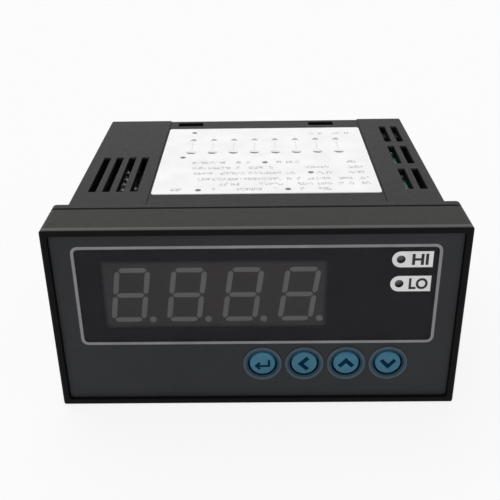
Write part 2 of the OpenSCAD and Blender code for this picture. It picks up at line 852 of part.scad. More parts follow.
// Half section of a ring: a crest along its outer edge and a dished slope down to its inner edge
module ring_section() {
    inside = key_hole_d / 2;
    outside = inside + ring_w;
    polygon([
        [inside, 0],
        [inside, ring_lip_h],
        [outside - ring_crest_r, ring_h],
        [outside, ring_h - ring_crest_r],
        [outside, 0]
    ]);
    translate([outside - ring_crest_r, ring_h - ring_crest_r]) circle(ring_crest_r);
}

// Four raised rings standing on the overlay about the keys
module key_rings() {
    color("#3d5560")
    for (i = [0 : key_n - 1])
        translate([key_at(i), y_overlay, key_z])
            rotate([90, 0, 0]) rotate_extrude() ring_section();
}

// Half section of a key, standing on its stem's end: stem, collar, then the crowned cap
module key_section() {
    front = y_plunger - y_key;
    collar = y_plunger - y_collar;
    square([stem_d / 2, collar]);
    translate([0, collar - collar_t]) square([key_d / 2 + collar_w, collar_t]);
    intersection() {
        translate([0, front - key_crown_r]) circle(key_crown_r, $fn = crown_sides);
        translate([0, collar - root]) half_cap(key_d, front - collar + root, key_edge_r);
    }
}

// Key with a crowned face, a collar behind the face plate and a stem down to its switch
module key_cap(i) {
    color("#40788f")
    translate([key_at(i), y_plunger, key_z]) rotate([90, 0, 0]) rotate_extrude() key_section();
}

// Square switch body with solder tabs and a round well for its plunger
module switch_body(i) {
    color("#2b2b2b")
    translate([key_at(i), 0, key_z])
        difference() {
            union() {
                block([-switch_w / 2, y_switch, -switch_w / 2], [switch_w / 2, y_board, switch_w / 2]);
                for (sx = [-1, 1], sz = [-1, 1])
                    block([sx * (switch_w / 2 - root), y_board - tab_t, sz * tab_pitch / 2 - tab_w / 2],
                          [sx * (switch_w / 2 + tab_l), y_board, sz * tab_pitch / 2 + tab_w / 2]);
            }
            rod_y(plunger_d + 2 * plunger_clear,
                  y_switch - cut, y_switch + plunger_in + key_travel + plunger_free);
        }
}

module switch_plunger(i) {
    color("#8a5a3c")
    translate([key_at(i), 0, key_z]) rod_y(plunger_d, y_plunger, y_switch + plunger_in);
}

// Leans a point of a digit to the right with its height
function lean(p) = [p.x + p.y * tan(digit_slant), p.y];

// Six-cornered segment between two ends, lying or standing, then leaned
module segment(mid, half, standing) {
    w = segment_w / 2;
    along = [[-half, 0], [w - half, w], [half - w, w], [half, 0], [half - w, -w], [w - half, -w]];
    polygon([for (p = along) lean(mid + (standing ? [p.y, p.x] : p))]);
}

// All segments and points of the display, seen from the front
module digit_outlines() {
    reach_x = (digit_w - segment_w) / 2;
    reach_z = (digit_h - segment_w) / 2;
    for (d = [0 : digit_n - 1])
        translate([display_x - digits_left + (d - (digit_n - 1) / 2) * digit_pitch, display_z]) {
            for (z = [-1, 0, 1]) segment([0, z * reach_z], reach_x - segment_gap, false);
            for (sx = [-1, 1], sz = [-1, 1])
                segment([sx * reach_x, sz * reach_z / 2], reach_z / 2 - segment_gap, true);
            translate([point_x, -reach_z]) circle(d = point_d);
        }
}

module display_block() {
    color("#383735")
    difference() {
        slab_y(y_display, y_board)
            translate([display_x, display_z]) square([display_w, display_h], center = true);
        slab_y(y_display - cut, y_display + segment_depth) digit_outlines();
    }
}

module display_segments() {
    color("#565553")
    slab_y(y_display, y_display + segment_depth) digit_outlines();
}

// Places for the display's pins
module at_display_pins() {
    for (i = [0 : display_pin_n - 1], sz = [-1, 1]) {
        x = display_x + (i - (display_pin_n - 1) / 2) * pin_pitch;
        translate([x, 0, display_z + sz * display_pin_row / 2]) children();
    }
}

module display_pins() {
    color("#c9c9c4")
    at_display_pins()
        block([-pin_w / 2, y_board, -pin_w / 2], [pin_w / 2, y_board_back + pin_out, pin_w / 2]);
}

// Places along a header, from left to right
function header_at(i) = header_x + (i - (header_n - 1) / 2) * pin_pitch;

module display_board() {
    color("#1f6b45")
    difference() {
        slab_y(y_board, y_board_back) square([display_board_w, display_board_h], center = true);
        at_posts() rod_y(screw_d + 2 * hole_clear, y_board - cut, y_board_back + cut);
        at_display_pins() rod_y(pin_hole_d, y_board - cut, y_board_back + cut);
        for (i = [0 : header_n - 1], sz = [-1, 1])
            translate([header_at(i), 0, sz * header_z])
                rod_y(pin_hole_d, y_board - cut, y_board_back + cut);
        for (i = [0, 1], sx = [-1, 1])
            translate([lamp_x + sx * pin_pitch / 2, 0, lamp_at(i)])
                rod_y(pin_hole_d, y_board - cut, y_board_back + cut);
    }
}

// Cross slot sunk into the rear of a screw head
module cross_slot(d, y) {
    half = d * cross_share / 2;
    block([-half, y - cross_depth, -cross_w / 2], [half, y + cut, cross_w / 2]);
    block([-cross_w / 2, y - cross_depth, -half], [cross_w / 2, y + cut, half]);
}

// Pan-head screw along the depth with its head seated at y
module pan_screw(d, l, head_d, head_h, y) {
    difference() {
        union() {
            rod_y(d, y - l, y + root);
            translate([0, y, 0])
                rotate([-90, 0, 0])
                    rotate_extrude() half_cap(head_d, head_h, screw_head_r);
        }
        cross_slot(head_d, y + head_h);
    }
}

module board_screws() {
    color("#b4b6b8")
    at_posts() pan_screw(screw_d, screw_l, screw_head_d, screw_head_h, y_board_back);
}

// Main board under the roof (side 1) or over the floor (side -1), drilled for its header
module main_board(side) {
    color("#1f6b45")
    difference() {
        block([-main_board_w / 2, y_main, side * z_inner], [main_board_w / 2, y_main_end, side * z_outer]);
        for (i = [0 : header_n - 1])
            translate([header_at(i), header_y, 0]) rod_z(pin_hole_d, -inner_h / 2, inner_h / 2);
    }
}

// Header strip in the corner of two boards, with bent pins through both
module board_header(side) {
    strip = header_n * pin_pitch;
    color("#1a1a1a")
    union() {
        block([header_x - strip / 2, y_board_back, side * (z_inner - header_w)],
              [header_x + strip / 2, y_board_back + header_w, side * z_inner]);
        for (i = [0 : header_n - 1])
            translate([header_at(i), 0, 0]) {
                block([-pin_w / 2, y_board, side * header_z - pin_w / 2],
                      [pin_w / 2, header_y, side * header_z + pin_w / 2]);
                block([-pin_w / 2, header_y - pin_w / 2, side * header_z],
                      [pin_w / 2, header_y + pin_w / 2, side * (z_outer + pin_out)]);
            }
    }
}

// Laminated core with two windows about its middle limb, standing on the lower board
module transformer_core() {
    window = (core_w - 4 * core_limb) / 2;
    color("#6f7174")
    translate([core_x, core_y, core_h / 2 - z_inner])
        difference() {
            cube([core_w, core_t, core_h], center = true);
            for (sx = [-1, 1])
                translate([sx * (core_limb + window / 2), 0, 0])
                    cube([window, core_t + 2 * cut, core_h - 2 * core_limb], center = true);
        }
}

// Winding between two bobbin flanges, about the core's middle limb
module transformer_coil() {
    window = (core_w - 4 * core_limb) / 2;
    w = 2 * core_limb + 2 * window - 2 * coil_clear;
    l = core_t + 2 * coil_bulge;
    h = core_h - 2 * core_limb - 2 * coil_clear;
    color("#b98a3a")
    translate([core_x, core_y, core_h / 2 - z_inner])
        difference() {
            union() {
                slab_z(-h / 2, h / 2) rounded_rect(w - 2 * coil_step, l - 2 * coil_step, coil_r);
                for (sz = [-1, 1]) translate([0, 0, sz * (h - coil_flange) / 2])
                    cube([w, l, coil_flange], center = true);
            }
            cube([2 * (core_limb + coil_clear), core_t + 2 * coil_clear, h + 2 * cut], center = true);
        }
}

module alarm_relay(i) {
    color("#2f5f9e")
    translate([relay_at(i), relay_y, 0])
        slab_z(-z_inner, relay_h - z_inner) rounded_rect(relay_w, relay_l, relay_r);
}

// Can capacitor with a rolled groove near its foot and a rim around its sunken top
module can_capacitor(left, d, h) {
    color("#27364f")
    translate([left - main_board_w / 2, supply_y, -z_inner])
        difference() {
            rod_z(d, 0, h);
            translate([0, 0, h - can_dish]) cylinder(h = can_dish + cut, d = d - 2 * can_rim);
            translate([0, 0, can_groove_z])
                rotate_extrude() translate([(d + can_bead) / 2, 0]) circle(can_bead);
        }
}

module smoothing_capacitor() {
    can_capacitor(smoothing_left, smoothing_d, smoothing_h);
}

module filter_capacitor() {
    can_capacitor(filter_left, filter_d, filter_h);
}

module bridge_rectifier() {
    color("#1c1c1c")
    translate([bridge_left - main_board_w / 2, supply_y, -z_inner])
        slab_z(0, bridge_h) rounded_rect(bridge_w, bridge_l, bridge_r);
}

// Regulator standing on three legs, with its drilled cooling tab at the back
module voltage_regulator() {
    body = regulator_leg + regulator_h;
    tab = body + regulator_tab_h;
    color("#1c1c1c")
    translate([main_board_w / 2 - regulator_right, supply_y, -z_inner])
        difference() {
            union() {
                block([-regulator_w / 2, -regulator_t, regulator_leg], [regulator_w / 2, 0, body]);
                block([-regulator_w / 2, -root, regulator_leg], [regulator_w / 2, regulator_tab_t, tab]);
                for (i = [-1 : 1])
                    block([i * pin_pitch - pin_w / 2, -regulator_t / 2 - pin_w / 2, 0],
                          [i * pin_pitch + pin_w / 2, -regulator_t / 2 + pin_w / 2, regulator_leg + root]);
            }
            translate([0, 0, body + regulator_tab_h / 2])
                rod_y(regulator_hole_d, -cut - root, regulator_tab_t + cut);
        }
}

// Chip hanging from the upper board on two rows of bent legs
module chip(x, l, w, legs) {
    z_top = z_inner - chip_gap;
    z_leg = z_top - chip_h / 2;
    y_leg = w / 2 + chip_leg_out;
    color("#1c1c1c")
    translate([x, chip_y, 0]) {
        block([-l / 2, -w / 2, z_top - chip_h], [l / 2, w / 2, z_top]);
        for (i = [0 : legs - 1], sy = [-1, 1])
            translate([(i - (legs - 1) / 2) * pin_pitch, 0, 0]) {
                block([-chip_leg_w / 2, sy * (w / 2 - root), z_leg - chip_leg_t],
                      [chip_leg_w / 2, sy * y_leg, z_leg]);
                block([-chip_leg_w / 2, sy * (y_leg - chip_leg_t), z_leg - chip_leg_t],
                      [chip_leg_w / 2, sy * y_leg, z_inner]);
            }
    }
}

module microcontroller() {
    chip(controller_x, controller_l, controller_w, controller_legs);
}

module converter_chip() {
    chip(converter_x, converter_l, converter_w, converter_legs);
}

module crystal() {
    color("#c4c6c8")
    translate([controller_x, chip_y - crystal_off, 0])
        slab_z(z_inner - crystal_h, z_inner) {
            square([crystal_l - crystal_w, crystal_w], center = true);
            for (sx = [-1, 1]) translate([sx * (crystal_l - crystal_w) / 2, 0]) circle(d = crystal_w);
        }
}

// Places for all terminals: x along the rows, sz above or below the bar
module at_terminals() {
    for (i = [0 : terminal_n - 1], sz = [-1, 1])
        translate([cell_x(i), 0, sz * row_z]) children();
}

// Hook on the skirt that springs into one of the housing's latch windows
module latch_hook(sx, sz) {
    x = sx * latch_span / 2;
    z0 = base_h / 2 - root;
    z1 = housing_h / 2 - latch_sink;
    y0 = y_latch + latch_clear;
    y1 = y_latch + latch_l - latch_clear;
    translate([x, 0, 0])
        slab_x(latch_w - 2 * latch_clear)
            polygon([
                [y0, sz * z0],
                [y0, sz * base_h / 2],
                [(y0 + y1) / 2, sz * z1],
                [y1, sz * z1],
                [y1, sz * z0]
            ]);
}

// Slits that free the tongue under one latch hook
module latch_slits(sx, sz) {
    for (side = [-1, 1]) {
        x = sx * latch_span / 2 + side * (latch_w + latch_slit) / 2;
        block([x - latch_slit / 2, y_cell, sz * (base_h / 2 - skirt_t)],
              [x + latch_slit / 2, y_base_rear + cut, sz * (base_h / 2 + cut)]);
    }
}

module terminal_base() {
    color("#232323")
    difference() {
        union() {
            difference() {
                slab_y(y_base, y_base_rear) square([base_w, base_h], center = true);
                slab_y(y_cell, y_base_rear + cut)
                    square([base_w - 2 * barrier_t, base_h - 2 * skirt_t], center = true);
            }
            for (i = [1 : terminal_n - 1]) {
                x = (i - terminal_n / 2) * cell_pitch;
                block([x - barrier_t / 2, y_cell - root, -barrier_end],
                      [x + barrier_t / 2, y_base_rear, barrier_end]);
            }
            block([-base_w / 2, y_cell - root, -spine_h / 2],
                  [base_w / 2, y_base_rear - spine_sink, spine_h / 2]);
            for (sx = [-1, 1], sz = [-1, 1]) latch_hook(sx, sz);
        }
        for (sx = [-1, 1], sz = [-1, 1]) latch_slits(sx, sz);
        at_terminals() rod_y(terminal_screw_d + 2 * hole_clear, y_base - cut, y_cell + cut);
        for (i = [0 : terminal_n - 1], sz = [-1, 1])
            block([cell_x(i) - tail_w / 2 - tail_clear, y_base - cut, sz * (z_inner - tail_t - tail_clear)],
                  [cell_x(i) + tail_w / 2 + tail_clear, y_cell + cut, sz * (z_inner + tail_clear)]);
    }
}

// Bent plates: a drilled face under each screw and a tail forward along the main board
module terminal_plates() {
    half = cell_w / 2 - plate_gap;
    color("#c2b280")
    for (i = [0 : terminal_n - 1], sz = [-1, 1])
        translate([cell_x(i), 0, 0])
            difference() {
                union() {
                    block([-half, y_cell, sz * (row_z - plate_below)], [half, y_washer, sz * z_inner]);
                    block([-tail_w / 2, y_main_end - tail_l, sz * (z_inner - tail_t)],
                          [tail_w / 2, y_washer, sz * z_inner]);
                }
                translate([0, 0, sz * row_z])
                    rod_y(terminal_screw_d + 2 * hole_clear, y_cell - cut, y_washer + cut);
            }
}

module clamp_washers() {
    color("#c6c8ca")
    at_terminals()
        difference() {
            slab_y(y_washer, y_head) rounded_rect(washer_w, washer_w, washer_r);
            rod_y(terminal_screw_d + 2 * hole_clear, y_washer - cut, y_head + cut);
        }
}

module terminal_screws() {
    color("#b8babc")
    at_terminals()
        pan_screw(terminal_screw_d, terminal_screw_l, terminal_head_d, terminal_head_h, y_head);
}

module wiring_label() {
    z = housing_h / 2 - channel_depth;
    color("#fafafa")
    slab_z(z, z + label_t)
        translate([label_x, label_y + label_l / 2]) rounded_rect(label_w, label_l, label_r);
}

front_bezel();
rear_housing();
front_overlay();
display_window();
window_border();
alarm_tag(0);  // alarm_tag_high
alarm_tag(1);  // alarm_tag_low
alarm_lamp(0);  // alarm_lamp_high
alarm_lamp(1);  // alarm_lamp_low
key_rings();
key_cap(0);  // key_set
key_cap(1);  // key_left
key_cap(2);  // key_up
key_cap(3);  // key_down
switch_body(0);  // switch_body_set
switch_body(1);  // switch_body_left
switch_body(2);  // switch_body_up
switch_body(3);  // switch_body_down
switch_plunger(0);  // switch_plunger_set
switch_plunger(1);  // switch_plunger_left
switch_plunger(2);  // switch_plunger_up
switch_plunger(3);  // switch_plunger_down
display_block();
display_segments();
display_pins();
display_board();
board_screws();
main_board(1);  // upper_board
main_board(-1);  // lower_board
board_header(1);  // upper_header
board_header(-1);  // lower_header
transformer_core();
transformer_coil();
alarm_relay(0);  // alarm_relay_high
alarm_relay(1);  // alarm_relay_low
smoothing_capacitor();
filter_capacitor();
bridge_rectifier();
voltage_regulator();
microcontroller();
converter_chip();
crystal();
terminal_base();
terminal_plates();
clamp_washers();
terminal_screws();
wiring_label();
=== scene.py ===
"""Looks of a panel-mounting temperature indicator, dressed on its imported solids.

The frame is the part's own: +X to the right seen from the front, +Y into the panel, +Z up, with the
origin in the middle of the flange's rear face. Sizes are millimetres until a mesh or a lamp is made.
"""
import json
import math

import bmesh
import bpy
import numpy as np
from mathutils import Euler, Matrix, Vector


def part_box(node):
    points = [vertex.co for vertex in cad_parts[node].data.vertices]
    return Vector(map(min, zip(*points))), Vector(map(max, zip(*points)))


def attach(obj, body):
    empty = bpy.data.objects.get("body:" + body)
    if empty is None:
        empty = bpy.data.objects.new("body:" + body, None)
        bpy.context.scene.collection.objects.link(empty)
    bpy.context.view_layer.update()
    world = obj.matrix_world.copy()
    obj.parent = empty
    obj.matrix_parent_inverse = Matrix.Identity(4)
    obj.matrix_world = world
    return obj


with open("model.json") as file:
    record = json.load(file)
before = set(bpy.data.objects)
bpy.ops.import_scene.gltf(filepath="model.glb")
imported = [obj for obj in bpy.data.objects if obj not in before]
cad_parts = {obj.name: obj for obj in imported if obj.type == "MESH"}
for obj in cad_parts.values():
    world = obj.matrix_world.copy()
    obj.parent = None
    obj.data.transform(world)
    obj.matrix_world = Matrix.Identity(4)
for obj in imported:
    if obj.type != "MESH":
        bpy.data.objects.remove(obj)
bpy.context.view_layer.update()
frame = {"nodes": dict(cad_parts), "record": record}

# One millimetre in metres
MM = 0.001
# Half width and half height of the housing behind the panel
HOUSING_HALF_W = 45.45
HOUSING_HALF_H = 22.2


def node_box(name):
    """Lowest and highest corner of a solid, in millimetres."""
    low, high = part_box(name)
    return np.array(low) / MM, np.array(high) / MM


def key_centre(name):
    """Middle of a key seen from the front, as (x, z)."""
    low, high = node_box(name)
    return ((low + high) / 2)[[0, 2]].tolist()


def stand(name, data):
    """A new object of the scene, at the origin."""
    made = bpy.data.objects.new(name, data)
    bpy.context.scene.collection.objects.link(made)
    return made


# Camera, found from the corners of the front frame, the housing and the label

# Side of the image and distance from the eye to it, in pixels, and width of the sensor in millimetres
IMAGE_SIDE = 500
FOCAL_PIXELS = 772.46
SENSOR = 36.0
# Place in millimetres, and turns about X, Y and Z in degrees
CAMERA_AT = (0.597, -166.47, 96.73)
CAMERA_TURN = (62.912, 0.755, 0.343)


def place_camera():
    """A camera with the photograph's place, aim and angle of view."""
    lens = bpy.data.cameras.new("camera")
    lens.sensor_width = SENSOR
    lens.lens = FOCAL_PIXELS * SENSOR / IMAGE_SIDE
    lens.clip_start = MM
    holder = stand("camera", lens)
    holder.location = Vector(CAMERA_AT) * MM
    holder.rotation_euler = Euler([math.radians(turn) for turn in CAMERA_TURN])
    bpy.context.scene.camera = holder


# Nodes and colours

# Places of the colour sockets on a Mix node
MIX_A = 6
MIX_B = 7
MIX_OUT = 2
# Range in which most values of a noise texture fall
NOISE_LOW = 0.3
NOISE_HIGH = 0.7
# Grain that runs equally far along every axis
EVEN = (1.0, 1.0, 1.0)


def linear(code):
    """Linear colour of an sRGB hex code.

    A share c of full brightness becomes c/12.92 up to 0.04045, then ((c + 0.055)/1.055) to the power 2.4.
    """
    shares = np.array([int(code[at:at + 2], 16) for at in (1, 3, 5)]) / 255
    curved = ((shares + 0.055) / 1.055) ** 2.4
    return (*np.where(shares <= 0.04045, shares / 12.92, curved).tolist(), 1.0)


def add(tree, kind, sockets=None, **settings):
    """Adds a node: settings are its properties, and each socket takes a value or another node's output."""
    made = tree.nodes.new(kind)
    for name, value in settings.items():
        setattr(made, name, value)
    for name, value in (sockets or {}).items():
        if isinstance(value, bpy.types.NodeSocket):
            tree.links.new(value, made.inputs[name])
        else:
            made.inputs[name].default_value = value
    return made


def material(name, **constants):
    """A new material, its tree and its shader; a constant's name has _ for each space in the socket's."""
    made = bpy.data.materials.new(name)
    made.use_nodes = True
    tree = made.node_tree
    shader = tree.nodes["Principled BSDF"]
    for socket, value in constants.items():
        shader.inputs[socket.replace("_", " ")].default_value = value
    return made, tree, shader


def per_metre(width):
    """Texture scale at which one cell of a pattern is this many millimetres wide."""
    return 1 / (width * MM)


def shade(tree, dark, light, patch):
    """Colour that drifts between two near shades in patches of a real width."""
    place = add(tree, "ShaderNodeTexCoord")
    cloud = add(tree, "ShaderNodeTexNoise",
                {"Vector": place.outputs["Object"], "Scale": per_metre(patch), "Detail": 3.0})
    spread = add(tree, "ShaderNodeMapRange",
                 {"Value": cloud.outputs["Fac"], "From Min": NOISE_LOW, "From Max": NOISE_HIGH})
    mixed = add(tree, "ShaderNodeMix",
                {"Factor": spread.outputs["Result"], MIX_A: linear(dark), MIX_B: linear(light)},
                data_type="RGBA")
    return mixed.outputs[MIX_OUT]


def relief(tree, shader, width, depth, rough, stretch=EVEN):
    """Surface grain of a real width and depth that also swings the roughness between two values.

    stretch is how many times longer the grain runs along each axis, as on brushed metal.
    """
    place = add(tree, "ShaderNodeTexCoord")
    drawn = add(tree, "ShaderNodeMapping",
                {"Vector": place.outputs["Object"], "Scale": tuple(per_metre(width) / s for s in stretch)})
    cloud = add(tree, "ShaderNodeTexNoise",
                {"Vector": drawn.outputs["Vector"], "Scale": 1.0, "Detail": 2.0})
    height = cloud.outputs["Fac"]
    swing = add(tree, "ShaderNodeMapRange",
                {"Value": height, "From Min": NOISE_LOW, "From Max": NOISE_HIGH,
                 "To Min": rough[0], "To Max": rough[1]})
    bump = add(tree, "ShaderNodeBump", {"Height": height, "Strength": 1.0, "Distance": depth * MM})
    tree.links.new(swing.outputs["Result"], shader.inputs["Roughness"])
    tree.links.new(bump.outputs["Normal"], shader.inputs["Normal"])


def moulded(name, dark, light, grain, depth, rough, patch=6.0, stretch=EVEN, **constants):
    """Two near shades in soft patches under one fine relief, as a grained mould leaves on plastic.

    Widths and depths are millimetres: of a patch of shade, of a grain, and from a grain's foot to its top.
    """
    made, tree, shader = material(name, **constants)
    tree.links.new(shade(tree, dark, light, patch), shader.inputs["Base Color"])
    relief(tree, shader, grain, depth, rough, stretch)
    return made


# Width of the patches of shade on a metal
METAL_PATCH = 2.0


def metal(name, dark, light, grain, depth, rough, stretch=EVEN):
    """Bare or plated metal: two near shades under a fine grain, drawn out where the metal was drawn."""
    return moulded(name, dark, light, grain, depth, rough, METAL_PATCH, stretch, Metallic=1.0)


# Finishes of the outside

def outer_skin(tree, half_x, half_z):
    """One where the surface lies past either half size, across or up, and nought inside them."""
    place = add(tree, "ShaderNodeTexCoord")
    away = add(tree, "ShaderNodeVectorMath", {0: place.outputs["Object"]}, operation="ABSOLUTE")
    parts = add(tree, "ShaderNodeSeparateXYZ", {"Vector": away.outputs["Vector"]})
    past_x = add(tree, "ShaderNodeMath", {0: parts.outputs["X"], 1: half_x * MM}, operation="GREATER_THAN")
    past_z = add(tree, "ShaderNodeMath", {0: parts.outputs["Z"], 1: half_z * MM}, operation="GREATER_THAN")
    either = add(tree, "ShaderNodeMath",
                 {0: past_x.outputs["Value"], 1: past_z.outputs["Value"]}, operation="MAXIMUM")
    return either.outputs["Value"]


# How far back the rim's front land, painted near black as shade with a painted highlight along its upper
# edge, reaches, and how softly it ends
LAND_DEPTH = 1.0
LAND_FADE = 0.2
# How far inside its outline the frame's surface still counts as its outside; further in it is painted near
# black as shade
SKIN_DEPTH = 1.4
# Upward share of the normal over which the rounded upper edge turns from painted shade to its painted
# highlight
HIGHLIGHT_TURN = (0.55, 0.75)


def moulded_abs_bezel():
    """Moulded ABS frame: grained charcoal, with painted shade on front land and inside, painted highlight
    on upper edge.
    """
    made, tree, shader = material("moulded_abs_bezel", Specular_IOR_Level=0.05)
    relief(tree, shader, 0.4, 0.012, (0.42, 0.58))
    low, high = node_box("front_bezel")
    skin = outer_skin(tree, high[0] - SKIN_DEPTH, high[2] - SKIN_DEPTH)
    place = add(tree, "ShaderNodeTexCoord")
    spot = add(tree, "ShaderNodeSeparateXYZ", {"Vector": place.outputs["Object"]})
    back = add(tree, "ShaderNodeMapRange",
               {"Value": spot.outputs["Y"], "From Min": (low[1] + LAND_DEPTH) * MM,
                "From Max": (low[1] + LAND_DEPTH + LAND_FADE) * MM})
    facing = add(tree, "ShaderNodeNewGeometry")
    turned = add(tree, "ShaderNodeSeparateXYZ", {"Vector": facing.outputs["Normal"]})
    upward = add(tree, "ShaderNodeMapRange",
                 {"Value": turned.outputs["Z"], "From Min": HIGHLIGHT_TURN[0], "From Max": HIGHLIGHT_TURN[1]})
    edge = add(tree, "ShaderNodeMath", {0: upward.outputs["Result"], 1: skin}, operation="MULTIPLY")
    side = add(tree, "ShaderNodeMath", {0: back.outputs["Result"], 1: skin}, operation="MULTIPLY")
    # Painted shade: near black on the front land and inside; painted highlight: light line where the
    # rounded upper edge faces up
    front = add(tree, "ShaderNodeMix",
                {"Factor": edge.outputs["Value"], MIX_A: linear("#121213"), MIX_B: linear("#5e5e5c")},
                data_type="RGBA")
    colour = add(tree, "ShaderNodeMix",
                 {"Factor": side.outputs["Value"], MIX_A: front.outputs[MIX_OUT],
                  MIX_B: shade(tree, "#363634", "#3a3a38", 1.6)}, data_type="RGBA")
    tree.links.new(colour.outputs[MIX_OUT], shader.inputs["Base Color"])
    return made


# How deep inside its outline the housing's surface still counts as its outside; further in it is painted
# near black as shade
CASE_DEPTH = 0.5


def moulded_abs_case():
    """Spark-eroded ABS tube: dull charcoal whose highlights spread wide, its inside painted near black as
    shade.
    """
    made, tree, shader = material("moulded_abs_case", Specular_IOR_Level=0.08)
    relief(tree, shader, 0.45, 0.014, (0.5, 0.66))
    _, high = node_box("rear_housing")
    skin = outer_skin(tree, HOUSING_HALF_W - CASE_DEPTH, HOUSING_HALF_H - CASE_DEPTH)
    place = add(tree, "ShaderNodeTexCoord")
    spot = add(tree, "ShaderNodeSeparateXYZ", {"Vector": place.outputs["Object"]})
    rear = add(tree, "ShaderNodeMath",
               {0: spot.outputs["Y"], 1: (high[1] - CASE_DEPTH) * MM}, operation="GREATER_THAN")
    outside = add(tree, "ShaderNodeMath", {0: skin, 1: rear.outputs["Value"]}, operation="MAXIMUM")
    # Painted shade: near black wherever the surface lies inside the tube
    colour = add(tree, "ShaderNodeMix",
                 {"Factor": outside.outputs["Value"], MIX_A: linear("#0d0d0d"),
                  MIX_B: shade(tree, "#323232", "#373736", 1.6)}, data_type="RGBA")
    tree.links.new(colour.outputs[MIX_OUT], shader.inputs["Base Color"])
    return made


# Width over which the paint on the display's face thins out towards its edges
PAINT_FADE = 0.9


def painted_display_face():
    """Black resin display whose face is rolled with warm grey paint, thinning out towards the edges."""
    made, tree, shader = material("painted_display_moulding")
    low, high = node_box("display_block")
    middle, half = (low + high) / 2, (high - low) / 2
    place = add(tree, "ShaderNodeTexCoord")
    centred = add(tree, "ShaderNodeVectorMath",
                  {0: place.outputs["Object"], 1: (middle * MM).tolist()}, operation="SUBTRACT")
    away = add(tree, "ShaderNodeVectorMath", {0: centred.outputs["Vector"]}, operation="ABSOLUTE")
    parts = add(tree, "ShaderNodeSeparateXYZ", {"Vector": away.outputs["Vector"]})
    across, upward = [
        add(tree, "ShaderNodeMapRange",
            {"Value": parts.outputs[axis], "From Min": reach * MM, "From Max": (reach - PAINT_FADE) * MM})
        for axis, reach in (("X", half[0]), ("Z", half[2]))]
    paint = add(tree, "ShaderNodeMath",
                {0: across.outputs["Result"], 1: upward.outputs["Result"]}, operation="MULTIPLY")
    colour = add(tree, "ShaderNodeMix",
                 {"Factor": paint.outputs["Value"], MIX_A: linear("#1c1b1b"),
                  MIX_B: shade(tree, "#605a57", "#67615e", 6.0)}, data_type="RGBA")
    tree.links.new(colour.outputs[MIX_OUT], shader.inputs["Base Color"])
    relief(tree, shader, 0.3, 0.002, (0.5, 0.6))
    return made


# Radius at which the painted shade on a ring's inner slope ends and its paler crest begins, and how softly
CREST_FROM = 3.85
CREST_FADE = 0.4


def satin_lacquered_ring():
    """Satin lacquer on the key rings: a greyer crest, its inner slope painted dark teal as shade."""
    made, tree, shader = material("satin_lacquered_ring", Specular_IOR_Level=0.2)
    first, second = key_centre("key_set"), key_centre("key_left")
    half = (second[0] - first[0]) / 2 * MM
    place = add(tree, "ShaderNodeTexCoord")
    centred = add(tree, "ShaderNodeVectorMath",
                  {0: place.outputs["Object"], 1: (first[0] * MM, 0.0, first[1] * MM)},
                  operation="SUBTRACT")
    repeated = add(tree, "ShaderNodeVectorMath",
                   {0: centred.outputs["Vector"], 1: (half, 1.0, 1.0), 2: (-half, -1.0, -1.0)},
                   operation="WRAP")
    flat = add(tree, "ShaderNodeVectorMath",
               {0: repeated.outputs["Vector"], 1: (1.0, 0.0, 1.0)}, operation="MULTIPLY")
    away = add(tree, "ShaderNodeVectorMath", {0: flat.outputs["Vector"]}, operation="LENGTH")
    crest = add(tree, "ShaderNodeMapRange",
                {"Value": away.outputs["Value"], "From Min": CREST_FROM * MM,
                 "From Max": (CREST_FROM + CREST_FADE) * MM})
    # Painted shade: dark teal on the inner slope, the ring's greyer tone on the crest
    colour = add(tree, "ShaderNodeMix",
                 {"Factor": crest.outputs["Result"], MIX_A: shade(tree, "#113445", "#153c4e", 3.0),
                  MIX_B: shade(tree, "#3f4f59", "#485862", 3.0)}, data_type="RGBA")
    tree.links.new(colour.outputs[MIX_OUT], shader.inputs["Base Color"])
    relief(tree, shader, 0.25, 0.003, (0.4, 0.5))
    return made


# Finishes of the inside and the back

# Width from the middle past which the board is painted paler as painted light, with runs of copper under
# the resist, and how softly it shows
PAINTED_LIGHT_FROM = 30.0
PAINTED_LIGHT_FADE = 4.0
# Runs of copper on that painted lit side: length, pitch, and the gap between two of them
RUN_LENGTH = 22.0
RUN_PITCH = 1.6
RUN_GAP = 0.45


def solder_resist_board():
    """Glass-epoxy board under green solder resist: painted near black as shade, paler on one side as
    painted light.
    """
    made, tree, shader = material("glass_epoxy_board", Specular_IOR_Level=0.2)
    place = add(tree, "ShaderNodeTexCoord")
    spot = add(tree, "ShaderNodeSeparateXYZ", {"Vector": place.outputs["Object"]})
    painted_light = add(tree, "ShaderNodeMapRange",
               {"Value": spot.outputs["X"], "From Min": PAINTED_LIGHT_FROM * MM,
                "From Max": (PAINTED_LIGHT_FROM + PAINTED_LIGHT_FADE) * MM})
    tracks = add(tree, "ShaderNodeTexBrick",
                 {"Vector": place.outputs["Object"], "Scale": 1.0, "Mortar Size": RUN_GAP * MM,
                  "Mortar Smooth": 0.2, "Brick Width": RUN_LENGTH * MM, "Row Height": RUN_PITCH * MM,
                  "Color1": linear("#5a8c7c"), "Color2": linear("#669a89"), "Mortar": linear("#8cbbac")})
    # Painted shade: near black resist away from the painted lit side
    painted_shade_resist = shade(tree, "#0b1512", "#10201a", 6.0)
    colour = add(tree, "ShaderNodeMix",
                 {"Factor": painted_light.outputs["Result"], MIX_A: painted_shade_resist, MIX_B: tracks.outputs["Color"]},
                 data_type="RGBA")
    tree.links.new(colour.outputs[MIX_OUT], shader.inputs["Base Color"])
    relief(tree, shader, 0.8, 0.01, (0.25, 0.4))
    return made


# Thickness of one sheet of the transformer's core, drawn twice as thick as a real one so that it shows
SHEET_T = 1.0
# Full waves that a band texture of scale one draws in each unit of length
WAVES_PER_UNIT = 20 / (2 * math.pi)


